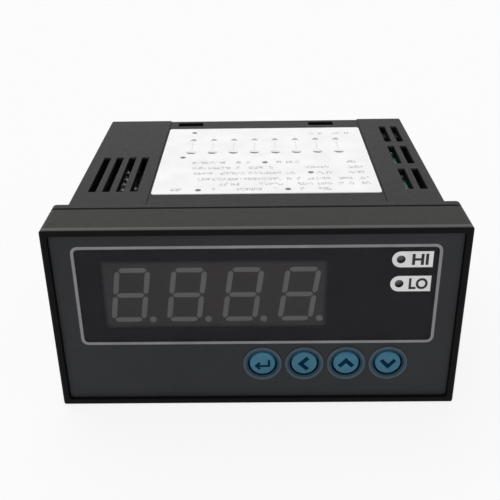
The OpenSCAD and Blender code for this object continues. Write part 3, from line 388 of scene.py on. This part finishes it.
def laminated_core():
    """Stack of varnished silicon-steel sheets: dark, with a line at each sheet's edge."""
    made, tree, shader = material("laminated_silicon_steel", Metallic=0.7)
    place = add(tree, "ShaderNodeTexCoord")
    sheets = add(tree, "ShaderNodeTexWave",
                 {"Vector": place.outputs["Object"], "Scale": per_metre(SHEET_T) / WAVES_PER_UNIT,
                  "Distortion": 0.4, "Detail": 1.0},
                 wave_type="BANDS", bands_direction="Y", wave_profile="SIN")
    colour = add(tree, "ShaderNodeMix",
                 {"Factor": sheets.outputs["Fac"], MIX_A: linear("#3a3b3e"), MIX_B: linear("#6b6d70")},
                 data_type="RGBA")
    tree.links.new(colour.outputs[MIX_OUT], shader.inputs["Base Color"])
    relief(tree, shader, 0.6, 0.01, (0.4, 0.6))
    return made


def make_finishes():
    """Every finish by the name of its material slot, with what each gives the eye.

    A tooth finer than about 0.2 mm doesn't show in a render, so the finest ones are drawn that coarse.
    """
    return {
        # Grained ABS frame, with painted shade on its front land and inside and a painted highlight on its
        # upper edge
        "bezel_abs": moulded_abs_bezel(),
        # Spark-eroded ABS tube with its inside painted near black as shade
        "housing_abs": moulded_abs_case(),
        # Velvet polycarbonate film printed on its back: deep grey under a fine even tooth
        "overlay_film": moulded("velvet_polycarbonate_film", "#222327", "#27282c", 0.3, 0.003, (0.45, 0.6),
                                patch=12.0, Specular_IOR_Level=0.25),
        # Tinted acrylic sheet: it darkens what lies behind it and gives a clear soft gloss
        "smoked_window": moulded("smoked_acrylic", "#313135", "#37373b", 1.2, 0.001, (0.1, 0.2),
                                 patch=9.0, Alpha=0.36, Specular_IOR_Level=0.12),
        # Screen ink: flat colour with the faint unevenness of a squeegee pass
        "border_print": moulded("grey_screen_ink", "#838287", "#8e8d92", 0.3, 0.001, (0.5, 0.6),
                                patch=5.0, Specular_IOR_Level=0.2),
        "tag_print": moulded("white_screen_ink", "#dfdfdf", "#ebebeb", 0.3, 0.001, (0.5, 0.6),
                             patch=3.0, Specular_IOR_Level=0.2),
        # Unlit lamp of milky epoxy behind the tag: pale and cloudy
        "lamp_epoxy": moulded("milky_cast_epoxy", "#dededa", "#ecece8", 0.4, 0.001, (0.2, 0.3), patch=0.8),
        # Satin lacquer on moulded keys: clean teal with a soft sheen on the crown
        "key_teal": moulded("satin_lacquered_key", "#34667d", "#3d738b", 0.25, 0.003, (0.38, 0.5),
                            patch=3.0, Specular_IOR_Level=0.3),
        "key_ring_teal": satin_lacquered_ring(),
        # Plain nylon of switches and headers: black with a dull sheen
        "switch_plastic": moulded("moulded_nylon_switch", "#1c1c1c", "#232323", 0.2, 0.004, (0.4, 0.55)),
        "header_plastic": moulded("moulded_nylon_header", "#171717", "#1e1e1e", 0.2, 0.004, (0.4, 0.55)),
        # Acetal plunger: waxy brown
        "plunger_plastic": moulded("moulded_acetal", "#7d5233", "#8a5b39", 0.3, 0.002, (0.3, 0.4)),
        "display_plastic": painted_display_face(),
        # Light bars of filled resin: pale, even and a little waxy
        "segment_plastic": moulded("filled_resin_bar", "#c2c1bc", "#cccbc6", 0.3, 0.001, (0.4, 0.5)),
        # Tinned leads, bright but slightly clouded
        "tinned_metal": metal("tinned_copper", "#bdbab2", "#d2d0ca", 0.3, 0.003, (0.25, 0.4)),
        # Solder fillets: grey and frosted
        "solder": metal("frosted_solder", "#8f9494", "#a9adad", 0.3, 0.004, (0.35, 0.5)),
        "board_green": solder_resist_board(),
        "core_steel": laminated_core(),
        # Winding under polyester tape: glossy amber
        "coil_wire": moulded("polyester_tape_winding", "#a5761f", "#c08f30", 0.9, 0.02, (0.25, 0.35),
                             patch=4.0),
        # Relay case: glossy blue moulding
        "relay_plastic": moulded("moulded_polyester_relay", "#2c5a96", "#33649f", 0.3, 0.003, (0.25, 0.35)),
        # Shrink sleeve on the cans: glossy dark blue
        "can_sleeve": moulded("shrunk_pvc_sleeve", "#1b2740", "#22304b", 0.5, 0.004, (0.2, 0.3)),
        # Chip bodies: dull black filled epoxy with a fine speckle
        "chip_plastic": moulded("filled_epoxy_chip", "#161616", "#222222", 0.15, 0.006, (0.55, 0.7),
                                patch=0.4),
        # Drawn nickel can of the crystal: bright, with streaks up its sides
        "crystal_can": metal("drawn_nickel_can", "#b9b9b7", "#cfcfcd", 0.2, 0.002, (0.2, 0.35),
                             stretch=(1.0, 1.0, 8.0)),
        # Glass-filled terminal moulding: dull black with a dry grain
        "terminal_plastic": moulded("glass_filled_polyester", "#1b1b1b", "#232323", 0.3, 0.008, (0.5, 0.68),
                                    Specular_IOR_Level=0.2),
        # Stamped brass plates: warm yellow, with streaks along their width
        "terminal_brass": metal("stamped_brass", "#b3985a", "#c6ab6c", 0.3, 0.003, (0.28, 0.42),
                                stretch=(6.0, 1.0, 1.0)),
        # Zinc plate on steel: pale, faintly blue, slightly clouded
        "washer_steel": metal("zinc_plated_washer", "#b4b8bc", "#c9cdd0", 0.4, 0.004, (0.3, 0.45)),
        "screw_steel": metal("zinc_plated_screw", "#aeb2b6", "#c4c8cb", 0.4, 0.004, (0.28, 0.42)),
        # White vinyl sticker: a bright even sheet with the faintest tooth
        "label_paper": moulded("white_vinyl_label", "#f3f3f3", "#fbfbfb", 0.5, 0.002, (0.5, 0.65),
                               patch=7.0, Specular_IOR_Level=0.25),
        # Inks that only the print uses: flat dull colour with a faint drift in tone
        "key_ink": moulded("navy_screen_ink", "#03273d", "#053048", 0.3, 0.001, (0.45, 0.55),
                           patch=2.0, Specular_IOR_Level=0.02),
        "black_ink": moulded("black_screen_ink", "#262627", "#303031", 0.3, 0.001, (0.5, 0.6),
                             patch=2.0, Specular_IOR_Level=0.2),
        "label_ink": moulded("dark_label_ink", "#5c5c5d", "#7a7a7a", 0.3, 0.001, (0.5, 0.6), patch=1.5),
        "grey_ink": moulded("grey_label_ink", "#989898", "#b2b2b2", 0.3, 0.001, (0.5, 0.6), patch=1.5),
        "pale_ink": moulded("pale_label_ink", "#d2d2d2", "#e6e6e5", 0.3, 0.001, (0.5, 0.6), patch=1.5),
        "rear_ink": moulded("white_pad_ink", "#c4c4c2", "#d4d4d2", 0.3, 0.001, (0.5, 0.6), patch=2.0),
    }


finishes = make_finishes()


def dress_solids():
    """Gives each solid the finish of the material slot that the record names for it."""
    slots = {row["node"]: row["material_slot"] for row in frame["record"]["subparts"]}
    for name, solid in frame["nodes"].items():
        for holder in solid.material_slots:
            holder.material = finishes[slots[name]]


# Meshes

# Ink stands this proud of what it is printed on, and its underside lies this far below the surface
INK_PROUD = 0.03
INK_SUNK = 0.02


def build(name, shapes, finish, body):
    """One piece from several (vertices, faces) shapes in millimetres, riding on a body."""
    starts = np.cumsum([0] + [len(vertices) for vertices, _ in shapes])
    vertices = np.vstack([vertices for vertices, _ in shapes]) * MM
    faces = [[corner + start for corner in face]
             for start, (_, made) in zip(starts.tolist(), shapes) for face in made]
    mesh = bpy.data.meshes.new(name)
    mesh.from_pydata(vertices.tolist(), [], faces)
    mesh.materials.append(finishes[finish])
    piece = stand(name, mesh)
    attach(piece, body)


def divide(path, pieces):
    """The same line with each leg cut into equal pieces: start + share * leg, for every leg at once."""
    path = np.asarray(path, float)
    shares = np.arange(pieces)[:, None] / pieces
    legs = path[:-1, None] + shares * (path[1:, None] - path[:-1, None])
    return np.vstack([legs.reshape(-1, 2), path[-1]])


def oval(centre, half_w, half_h, count=24):
    """Points of an ellipse, anticlockwise: centre + (half_w cos t, half_h sin t)."""
    turn = np.arange(count) * 2 * math.pi / count
    return np.stack([centre[0] + half_w * np.cos(turn), centre[1] + half_h * np.sin(turn)], 1)


def stroke(path, width, closed=False):
    """A bar of ink carried along a flat path, as (u, v, height) vertices and faces.

    At each point the two edges lie half a width to either side along the mitre, which is the sum of the
    normals of the two legs there over one plus their product, so that both legs keep their width.
    The section has four corners: right and left below the surface, then left and right above it.
    """
    path = np.asarray(path, float)
    if closed:
        before, after = np.roll(path, 1, 0), np.roll(path, -1, 0)
    else:
        before = np.vstack([2 * path[0] - path[1], path[:-1]])
        after = np.vstack([path[1:], 2 * path[-1] - path[-2]])
    legs = np.stack([path - before, after - path])
    legs /= np.linalg.norm(legs, axis=2, keepdims=True)
    normals = np.stack([-legs[..., 1], legs[..., 0]], -1)
    mitre = normals.sum(0) / (1 + (normals[0] * normals[1]).sum(1, keepdims=True))
    left, right = path + mitre * width / 2, path - mitre * width / 2
    count = len(path)
    section = np.stack([right, left, left, right], 1)
    levels = np.array([-INK_SUNK, -INK_SUNK, INK_PROUD, INK_PROUD])
    heights = np.broadcast_to(levels[:, None], (count, 4, 1))
    vertices = np.concatenate([section, heights], 2).reshape(-1, 3)
    station = np.arange(count if closed else count - 1)[:, None]
    onward = (station + 1) % count
    corner = np.arange(4)[None]
    beside = (corner + 1) % 4
    quads = np.stack([4 * station + corner, 4 * station + beside,
                      4 * onward + beside, 4 * onward + corner], -1).reshape(-1, 4).tolist()
    if not closed:
        last = 4 * (count - 1)
        quads += [[3, 2, 1, 0], [last, last + 1, last + 2, last + 3]]
    return vertices, quads


# Share of a type size that its capitals and figures stand high
CAP_SHARE = 0.69
# Steps in each curve of a letter, and the distance under which its corners are one
LETTER_STEPS = 4
LETTER_WELD = 0.0001


def lettering(words, height, weight):
    """Words in the plain built-in type, centred, as (u, v, height) vertices and faces of raised ink."""
    curve = bpy.data.curves.new("lettering", "FONT")
    curve.body = words
    curve.size = height / CAP_SHARE
    curve.offset = weight
    curve.resolution_u = LETTER_STEPS
    curve.extrude = (INK_PROUD + INK_SUNK) / 2
    curve.align_x = "CENTER"
    holder = stand("lettering", curve)
    flat = bpy.data.meshes.new_from_object(holder)
    bpy.data.objects.remove(holder)
    bpy.data.curves.remove(curve)
    shell = bmesh.new()
    shell.from_mesh(flat)
    bmesh.ops.remove_doubles(shell, verts=shell.verts, dist=LETTER_WELD)
    bmesh.ops.recalc_face_normals(shell, faces=shell.faces)
    shell.to_mesh(flat)
    shell.free()
    places = np.empty(len(flat.vertices) * 3)
    flat.vertices.foreach_get("co", places)
    faces = [list(face.vertices) for face in flat.polygons]
    bpy.data.meshes.remove(flat)
    return places.reshape(-1, 3) + (0, -height / 2, (INK_PROUD - INK_SUNK) / 2), faces


def field(outline):
    """A flat field of ink inside an anticlockwise outline, as (u, v, height) vertices and faces."""
    outline = np.asarray(outline, float)
    count = len(outline)
    below = np.column_stack([outline, np.full(count, -INK_SUNK)])
    above = np.column_stack([outline, np.full(count, INK_PROUD)])
    corner = np.arange(count)
    beside = (corner + 1) % count
    sides = np.stack([corner, beside, count + beside, count + corner], 1).tolist()
    return np.vstack([below, above]), sides + [corner[::-1].tolist(), (corner + count).tolist()]


def on_front(shape, x, y, z):
    """Carries flat print to a plane that faces the front: u runs along +X, v along +Z, height along -Y."""
    flat, faces = shape
    return np.stack([x + flat[:, 0], y - flat[:, 2], z + flat[:, 1]], 1), faces


def on_top(shape, x, y, z):
    """Carries flat print to a plane that faces up: u runs along +X, v along +Y, height along +Z."""
    flat, faces = shape
    return flat + (x, y, z), faces


def on_rear(shape, x, y, z):
    """Carries flat print to a plane that faces the rear: u runs along -X, v along +Z, height along +Y."""
    flat, faces = shape
    return np.stack([x - flat[:, 0], y + flat[:, 2], z + flat[:, 1]], 1), faces


# Key symbols

# Radius of the ball that a key's crown is part of
KEY_CROWN_R = 16.0
# Arrow head: its width from tip to tip, its rise to the point, and its stroke
CHEVRON_SPAN = 3.3
CHEVRON_RISE = 1.75
CHEVRON_STROKE = 1.0
# Return arrow: its width, the length of its upright, the reach of its barbs, and its stroke
RETURN_W = 3.1
RETURN_RISE = 1.7
RETURN_HEAD = 0.95
RETURN_STROKE = 0.6
# Pieces that each leg of a symbol is cut into, so that it follows the crown
LEG_PIECES = 6


def on_crown(shape, key):
    """Carries flat print onto a key's rounded crown: y = apex + R - sqrt(R^2 - u^2 - v^2) - height."""
    flat, faces = shape
    x, z = key_centre(key)
    apex = node_box(key)[0][1]
    across = (flat[:, :2] ** 2).sum(1)
    sag = KEY_CROWN_R - np.sqrt(KEY_CROWN_R ** 2 - across)
    return np.stack([x + flat[:, 0], apex + sag - flat[:, 2], z + flat[:, 1]], 1), faces


def chevron(quarter_turns):
    """An arrow head pointing up, turned anticlockwise by quarter turns."""
    path = np.array([(-CHEVRON_SPAN, -CHEVRON_RISE), (0, CHEVRON_RISE),
                     (CHEVRON_SPAN, -CHEVRON_RISE)]) / 2
    angle = quarter_turns * math.pi / 2
    turn = np.array([[math.cos(angle), math.sin(angle)], [-math.sin(angle), math.cos(angle)]])
    return stroke(divide(path @ turn, LEG_PIECES), CHEVRON_STROKE)


def return_sign():
    """An arrow that comes down and runs back to the left, as on a key that stores a setting.

    Its run to the left lies a third of the upright below the key's middle.
    """
    left, right = -RETURN_W / 2, RETURN_W / 2
    base, head = -RETURN_RISE / 3, RETURN_HEAD
    shaft = [(right, base + RETURN_RISE), (right, base), (left + RETURN_STROKE / 2, base)]
    tip = [(left + head, base + head), (left, base), (left + head, base - head)]
    return [stroke(divide(line, LEG_PIECES), RETURN_STROKE) for line in (shaft, tip)]


def print_keys():
    """Navy symbols on the four keys, each riding on its own key."""
    symbols = {"key_set": return_sign(), "key_left": [chevron(1)],
               "key_up": [chevron(0)], "key_down": [chevron(2)]}
    for key, shapes in symbols.items():
        placed = [on_crown(shape, key) for shape in shapes]
        build(key.replace("key", "symbol"), placed, "key_ink", key)


# Alarm tags

# Each tag's word and how wide it is drawn
TAG_WORDS = {"alarm_tag_high": ("HI", 3.7), "alarm_tag_low": ("LO", 4.3)}
# Height of the capitals, how much bolder than the plain type, and a word's middle from the tag's right end
TAG_CAPS = 2.6
TAG_WEIGHT = 0.12
TAG_WORD_RIGHT = 2.85


def print_tags():
    """A plain word on each alarm tag, to the right of its lamp."""
    for tag, (word, width) in TAG_WORDS.items():
        low, high = node_box(tag)
        flat, faces = lettering(word, TAG_CAPS, TAG_WEIGHT)
        left, right = flat[:, 0].min(), flat[:, 0].max()
        flat[:, 0] = (flat[:, 0] - (left + right) / 2) * width / (right - left)
        place = on_front((flat, faces), high[0] - TAG_WORD_RIGHT, low[1], (low[2] + high[2]) / 2)
        build(tag.replace("tag", "word"), [place], "black_ink", "case")


# Label print, in millimetres from the middle of the label's front edge

# Terminals in a row, the pitch of their marks, and how far back the two rows of marks lie
TERMINAL_COUNT = 8
MARK_PITCH = 5.95
FRONT_MARKS = 29.9
REAR_MARKS = 40.6
# Half-filled circle in the front row: radius, share of it that it stands high, and the line around it
CUP_R = 1.3
CUP_SQUASH = 0.9
CUP_STROKE = 0.25
# Blunt arrow head in the rear row: width, height, and width of its blunt end
FOOT_W = 2.1
FOOT_H = 1.5
FOOT_TOP = 0.7
# Thin line that links two marks: its stroke, and how far from their middles it ends
LINK_STROKE = 0.2
LINK_GAP = 2.2
# Round bullets: radius and places
BULLET_R = 0.75
BULLETS = ((-21.0, 47.1), (-22.8, 25.9), (-0.1, 21.5), (11.9, 13.8), (-17.1, 2.3), (5.5, 2.5))
# A small unreadable sign: its width, height and stroke, the pitch of a run, and the short bars it may have
SIGN_W = 1.0
SIGN_H = 1.35
SIGN_STROKE = 0.18
SIGN_PITCH = 1.3
UPRIGHTS = [((side, level), (side, level + 1)) for side in (-1, 0, 1) for level in (-1, 0)]
LEVELS = [((side, level), (side + 1, level)) for side in (-1, 0) for level in (-1, 0, 1)]
LATTICE = np.array(UPRIGHTS + LEVELS) * (SIGN_W / 2, SIGN_H / 2)
# Share of the bars that are drawn, and share of the places in a run that stay empty
BAR_SHARE = 0.45
SPACE_SHARE = 0.15
# Seed of that chance
LABEL_SEED = 5
# Rows of small signs: distance from the front edge, then where each run of signs starts and ends
NOTE_ROWS = (
    (45.6, ((12.0, 17.0), (20.0, 25.5))),
    (21.6, ((-20.0, -11.5), (-8.0, -3.5), (3.0, 9.5), (22.0, 26.5))),
    (17.6, ((-21.0, -6.0), (-4.5, 2.5), (10.5, 16.5), (22.0, 26.5))),
    (13.6, ((-19.0, -13.5), (-12.0, -6.0), (-5.0, 8.5), (13.5, 17.5), (22.0, 26.5))),
    (9.5, ((-18.0, 9.0), (10.5, 16.5), (18.5, 22.0), (24.0, 26.5))),
    (6.0, ((-12.0, -7.0), (-2.0, 5.0), (8.0, 16.5), (18.5, 22.0), (24.0, 26.5))),
    (2.6, ((-24.0, -20.0), (-15.5, -13.0), (-7.5, 3.0), (7.0, 10.0), (12.5, 16.0))),
)


def note_run(random, start, end, y):
    """A run of small unreadable signs: each is a lattice of short bars, of which chance leaves some out."""
    count = round((end - start) / SIGN_PITCH)
    drawn = random.random((count, len(LATTICE))) < BAR_SHARE
    drawn &= random.random((count, 1)) > SPACE_SHARE
    column, bar = np.nonzero(drawn)
    middles = np.stack([start + (column + 0.5) * SIGN_PITCH, np.full(len(bar), y)], 1)
    return [stroke(path, SIGN_STROKE) for path in LATTICE[bar] + middles[:, None]]


def print_label():
    """Two linked rows of terminal marks, bullets, and runs of small unreadable signs on the label."""
    low, high = node_box("wiring_label")
    x, y, z = (low[0] + high[0]) / 2, low[1], high[2]
    columns = (np.arange(TERMINAL_COUNT) - (TERMINAL_COUNT - 1) / 2) * MARK_PITCH
    rings = [oval((column, FRONT_MARKS), CUP_R, CUP_R * CUP_SQUASH) for column in columns]
    lower = slice(len(rings[0]) // 2, None)
    cups = [field(ring[lower]) for ring in rings]
    bullets = [field(oval(spot, BULLET_R, BULLET_R)) for spot in BULLETS]
    foot = np.array([(-FOOT_W, -FOOT_H), (FOOT_W, -FOOT_H), (FOOT_TOP, FOOT_H), (-FOOT_TOP, FOOT_H)]) / 2
    feet = [field(foot + (column, REAR_MARKS)) for column in columns]
    links = [stroke([(column, FRONT_MARKS + LINK_GAP), (column, REAR_MARKS - LINK_GAP)], LINK_STROKE)
             for column in columns]
    random = np.random.default_rng(LABEL_SEED)
    notes = [shape for row, runs in NOTE_ROWS for start, end in runs
             for shape in note_run(random, start, end, row)]
    outlines = [stroke(ring, CUP_STROKE, closed=True) for ring in rings]
    layers = {"label_marks": (cups + bullets, "label_ink"), "label_notes": (feet + notes, "grey_ink"),
              "label_links": (outlines + links, "pale_ink")}
    for name, (shapes, ink) in layers.items():
        build(name, [on_top(shape, x, y, z) for shape in shapes], ink, "case")


# Solder joints on the upper board, under the vents

# Legs along each side of a chip, their pitch, and how far inside the chip's outline they pass the board
CHIP_LEGS = {"microcontroller": 14, "converter_chip": 8}
LEG_PITCH = 2.54
LEG_INSET = 0.15
# Joints of small parts near the front, as (x, y)
LOOSE_JOINTS = ((-35.2, 29.2), (-35.3, 22.0), (-32.1, 22.6))
# A joint's radius at its foot and at the wire, its height, and its divisions up and around
JOINT_R = 0.85
JOINT_WIRE = 0.25
JOINT_H = 0.8
JOINT_RINGS = 6
JOINT_SIDES = 14


def solder_fillet():
    """A fillet turned about an upright wire: at height H t its radius is wire + (R - wire)(1 - t)^2."""
    share = np.linspace(0, 1, JOINT_RINGS)[:, None]
    turn = np.arange(JOINT_SIDES)[None] * 2 * math.pi / JOINT_SIDES
    radius = JOINT_WIRE + (JOINT_R - JOINT_WIRE) * (1 - share) ** 2
    sweep = np.broadcast_arrays(radius * np.cos(turn), radius * np.sin(turn), share * JOINT_H)
    grid = np.stack(sweep, -1)
    ring = np.arange(JOINT_RINGS - 1)[:, None] * JOINT_SIDES
    side = np.arange(JOINT_SIDES)[None]
    beside = (side + 1) % JOINT_SIDES
    above = ring + JOINT_SIDES
    quads = np.stack([ring + side, ring + beside, above + beside, above + side], -1)
    first = np.arange(JOINT_SIDES)
    ends = [first[::-1].tolist(), (first + (JOINT_RINGS - 1) * JOINT_SIDES).tolist()]
    return grid.reshape(-1, 3), quads.reshape(-1, 4).tolist() + ends


def solder_board():
    """A solder fillet over each chip leg and over the leads of small parts near the front."""
    board_top = node_box("upper_board")[1][2]
    spots = list(LOOSE_JOINTS)
    for chip, legs in CHIP_LEGS.items():
        low, high = node_box(chip)
        along = (low[0] + high[0]) / 2 + (np.arange(legs) - (legs - 1) / 2) * LEG_PITCH
        spots += [(x, y) for y in (low[1] + LEG_INSET, high[1] - LEG_INSET) for x in along]
    fillet = solder_fillet()
    placed = [on_top(fillet, x, y, board_top) for x, y in spots]
    build("solder_joints", placed, "solder", "case")


# Terminal numbers at the back

# How far the ridge between the rows lies inside the block's rear face
SPINE_SINK = 2.5
# Diameter of a terminal screw's head
SCREW_HEAD = 5.6
# Figures: height, how much bolder than the plain type, and distance above or below the ridge's middle
FIGURE_HEIGHT = 1.25
FIGURE_WEIGHT = 0.03
FIGURE_RISE = 1.0


def print_terminals():
    """Figures 1 to 16 on the ridge between the two rows of terminals, read from the rear."""
    _, high = node_box("terminal_base")
    screw_low, screw_high = node_box("terminal_screws")
    face = high[1] - SPINE_SINK
    lane = (screw_high[0] - screw_low[0] - SCREW_HEAD) / (TERMINAL_COUNT - 1)
    shapes = []
    for row, rise in enumerate((FIGURE_RISE, -FIGURE_RISE)):
        for column in range(TERMINAL_COUNT):
            x = ((TERMINAL_COUNT - 1) / 2 - column) * lane
            figure = str(row * TERMINAL_COUNT + column + 1)
            shapes.append(on_rear(lettering(figure, FIGURE_HEIGHT, FIGURE_WEIGHT), x, face, rise))
    build("terminal_numbers", shapes, "rear_ink", "case")


# Stage and light

# Half the floor's side, and its paint
FLOOR_HALF = 4000.0
FLOOR_WHITE = "#e8e8e8"
# Share of plain white in the floor where it is seen, so that the rest keeps the part's shadow
SEEN_SHARE = 0.86
# Strength of the room as it is seen, matched to the floor so that no horizon shows, and as it lights
SEEN_WORLD = 0.972
AMBIENT = 0.45
# Lamps: direction that the light travels, watts for each square metre, and how wide it looks in degrees
LAMPS = {
    "key": ((0.25, -0.45, -1.0), 1.35, 50.0),
    "fill": ((0.35, 1.0, -0.75), 0.75, 70.0),
}


def seen_rays(tree):
    """One for rays from the camera, a gloss or a clear surface, and nought for others."""
    path = add(tree, "ShaderNodeLightPath")
    first = add(tree, "ShaderNodeMath",
                {0: path.outputs["Is Camera Ray"], 1: path.outputs["Is Glossy Ray"]}, operation="MAXIMUM")
    both = add(tree, "ShaderNodeMath",
               {0: first.outputs["Value"], 1: path.outputs["Is Transmission Ray"]}, operation="MAXIMUM")
    return both.outputs["Value"]


def lay_floor():
    """White floor through the flange's lower edge and the housing's, on which the part rests."""
    flange_low, _ = node_box("front_bezel")
    _, housing_high = node_box("rear_housing")
    front = np.array([0.0, flange_low[2]])
    rear = np.array([housing_high[1], -HOUSING_HALF_H])
    slope = (rear[1] - front[1]) / (rear[0] - front[0])
    corners = np.array([(-1, -1), (1, -1), (1, 1), (-1, 1)]) * FLOOR_HALF
    heights = front[1] + slope * corners[:, 1]
    mesh = bpy.data.meshes.new("floor")
    mesh.from_pydata((np.column_stack([corners, heights]) * MM).tolist(), [], [[0, 1, 2, 3]])
    made = bpy.data.materials.new("white_studio_floor")
    made.use_nodes = True
    tree = made.node_tree
    tree.nodes.clear()
    paint = add(tree, "ShaderNodeBsdfDiffuse", {"Color": linear(FLOOR_WHITE)})
    glow = add(tree, "ShaderNodeEmission", {"Color": linear("#ffffff"), "Strength": 1.0})
    share = add(tree, "ShaderNodeMath", {0: seen_rays(tree), 1: SEEN_SHARE}, operation="MULTIPLY")
    mixed = add(tree, "ShaderNodeMixShader",
                {0: share.outputs["Value"], 1: paint.outputs["BSDF"], 2: glow.outputs["Emission"]})
    add(tree, "ShaderNodeOutputMaterial", {"Surface": mixed.outputs["Shader"]})
    mesh.materials.append(made)
    floor = stand("floor", mesh)


def light_stage():
    """A soft lamp from above and behind, a weaker one from the front left, and an even white room."""
    for name, (direction, strength, width) in LAMPS.items():
        lamp = bpy.data.lights.new(name, "SUN")
        lamp.energy = strength
        lamp.angle = math.radians(width)
        stand(name, lamp).rotation_euler = Vector(direction).to_track_quat("-Z", "Y").to_euler()
    room = bpy.data.worlds.new("white_room")
    room.use_nodes = True
    bpy.context.scene.world = room
    tree = room.node_tree
    tree.nodes.clear()
    dim = add(tree, "ShaderNodeBackground", {"Color": linear("#ffffff"), "Strength": AMBIENT})
    bright = add(tree, "ShaderNodeBackground", {"Color": linear("#ffffff"), "Strength": SEEN_WORLD})
    mixed = add(tree, "ShaderNodeMixShader",
                {0: seen_rays(tree), 1: dim.outputs["Background"], 2: bright.outputs["Background"]})
    add(tree, "ShaderNodeOutputWorld", {"Surface": mixed.outputs["Shader"]})


place_camera()
dress_solids()
print_keys()
print_tags()
print_label()
print_terminals()
solder_board()
lay_floor()
light_stage()
bpy.context.scene.view_settings.view_transform = "Standard"
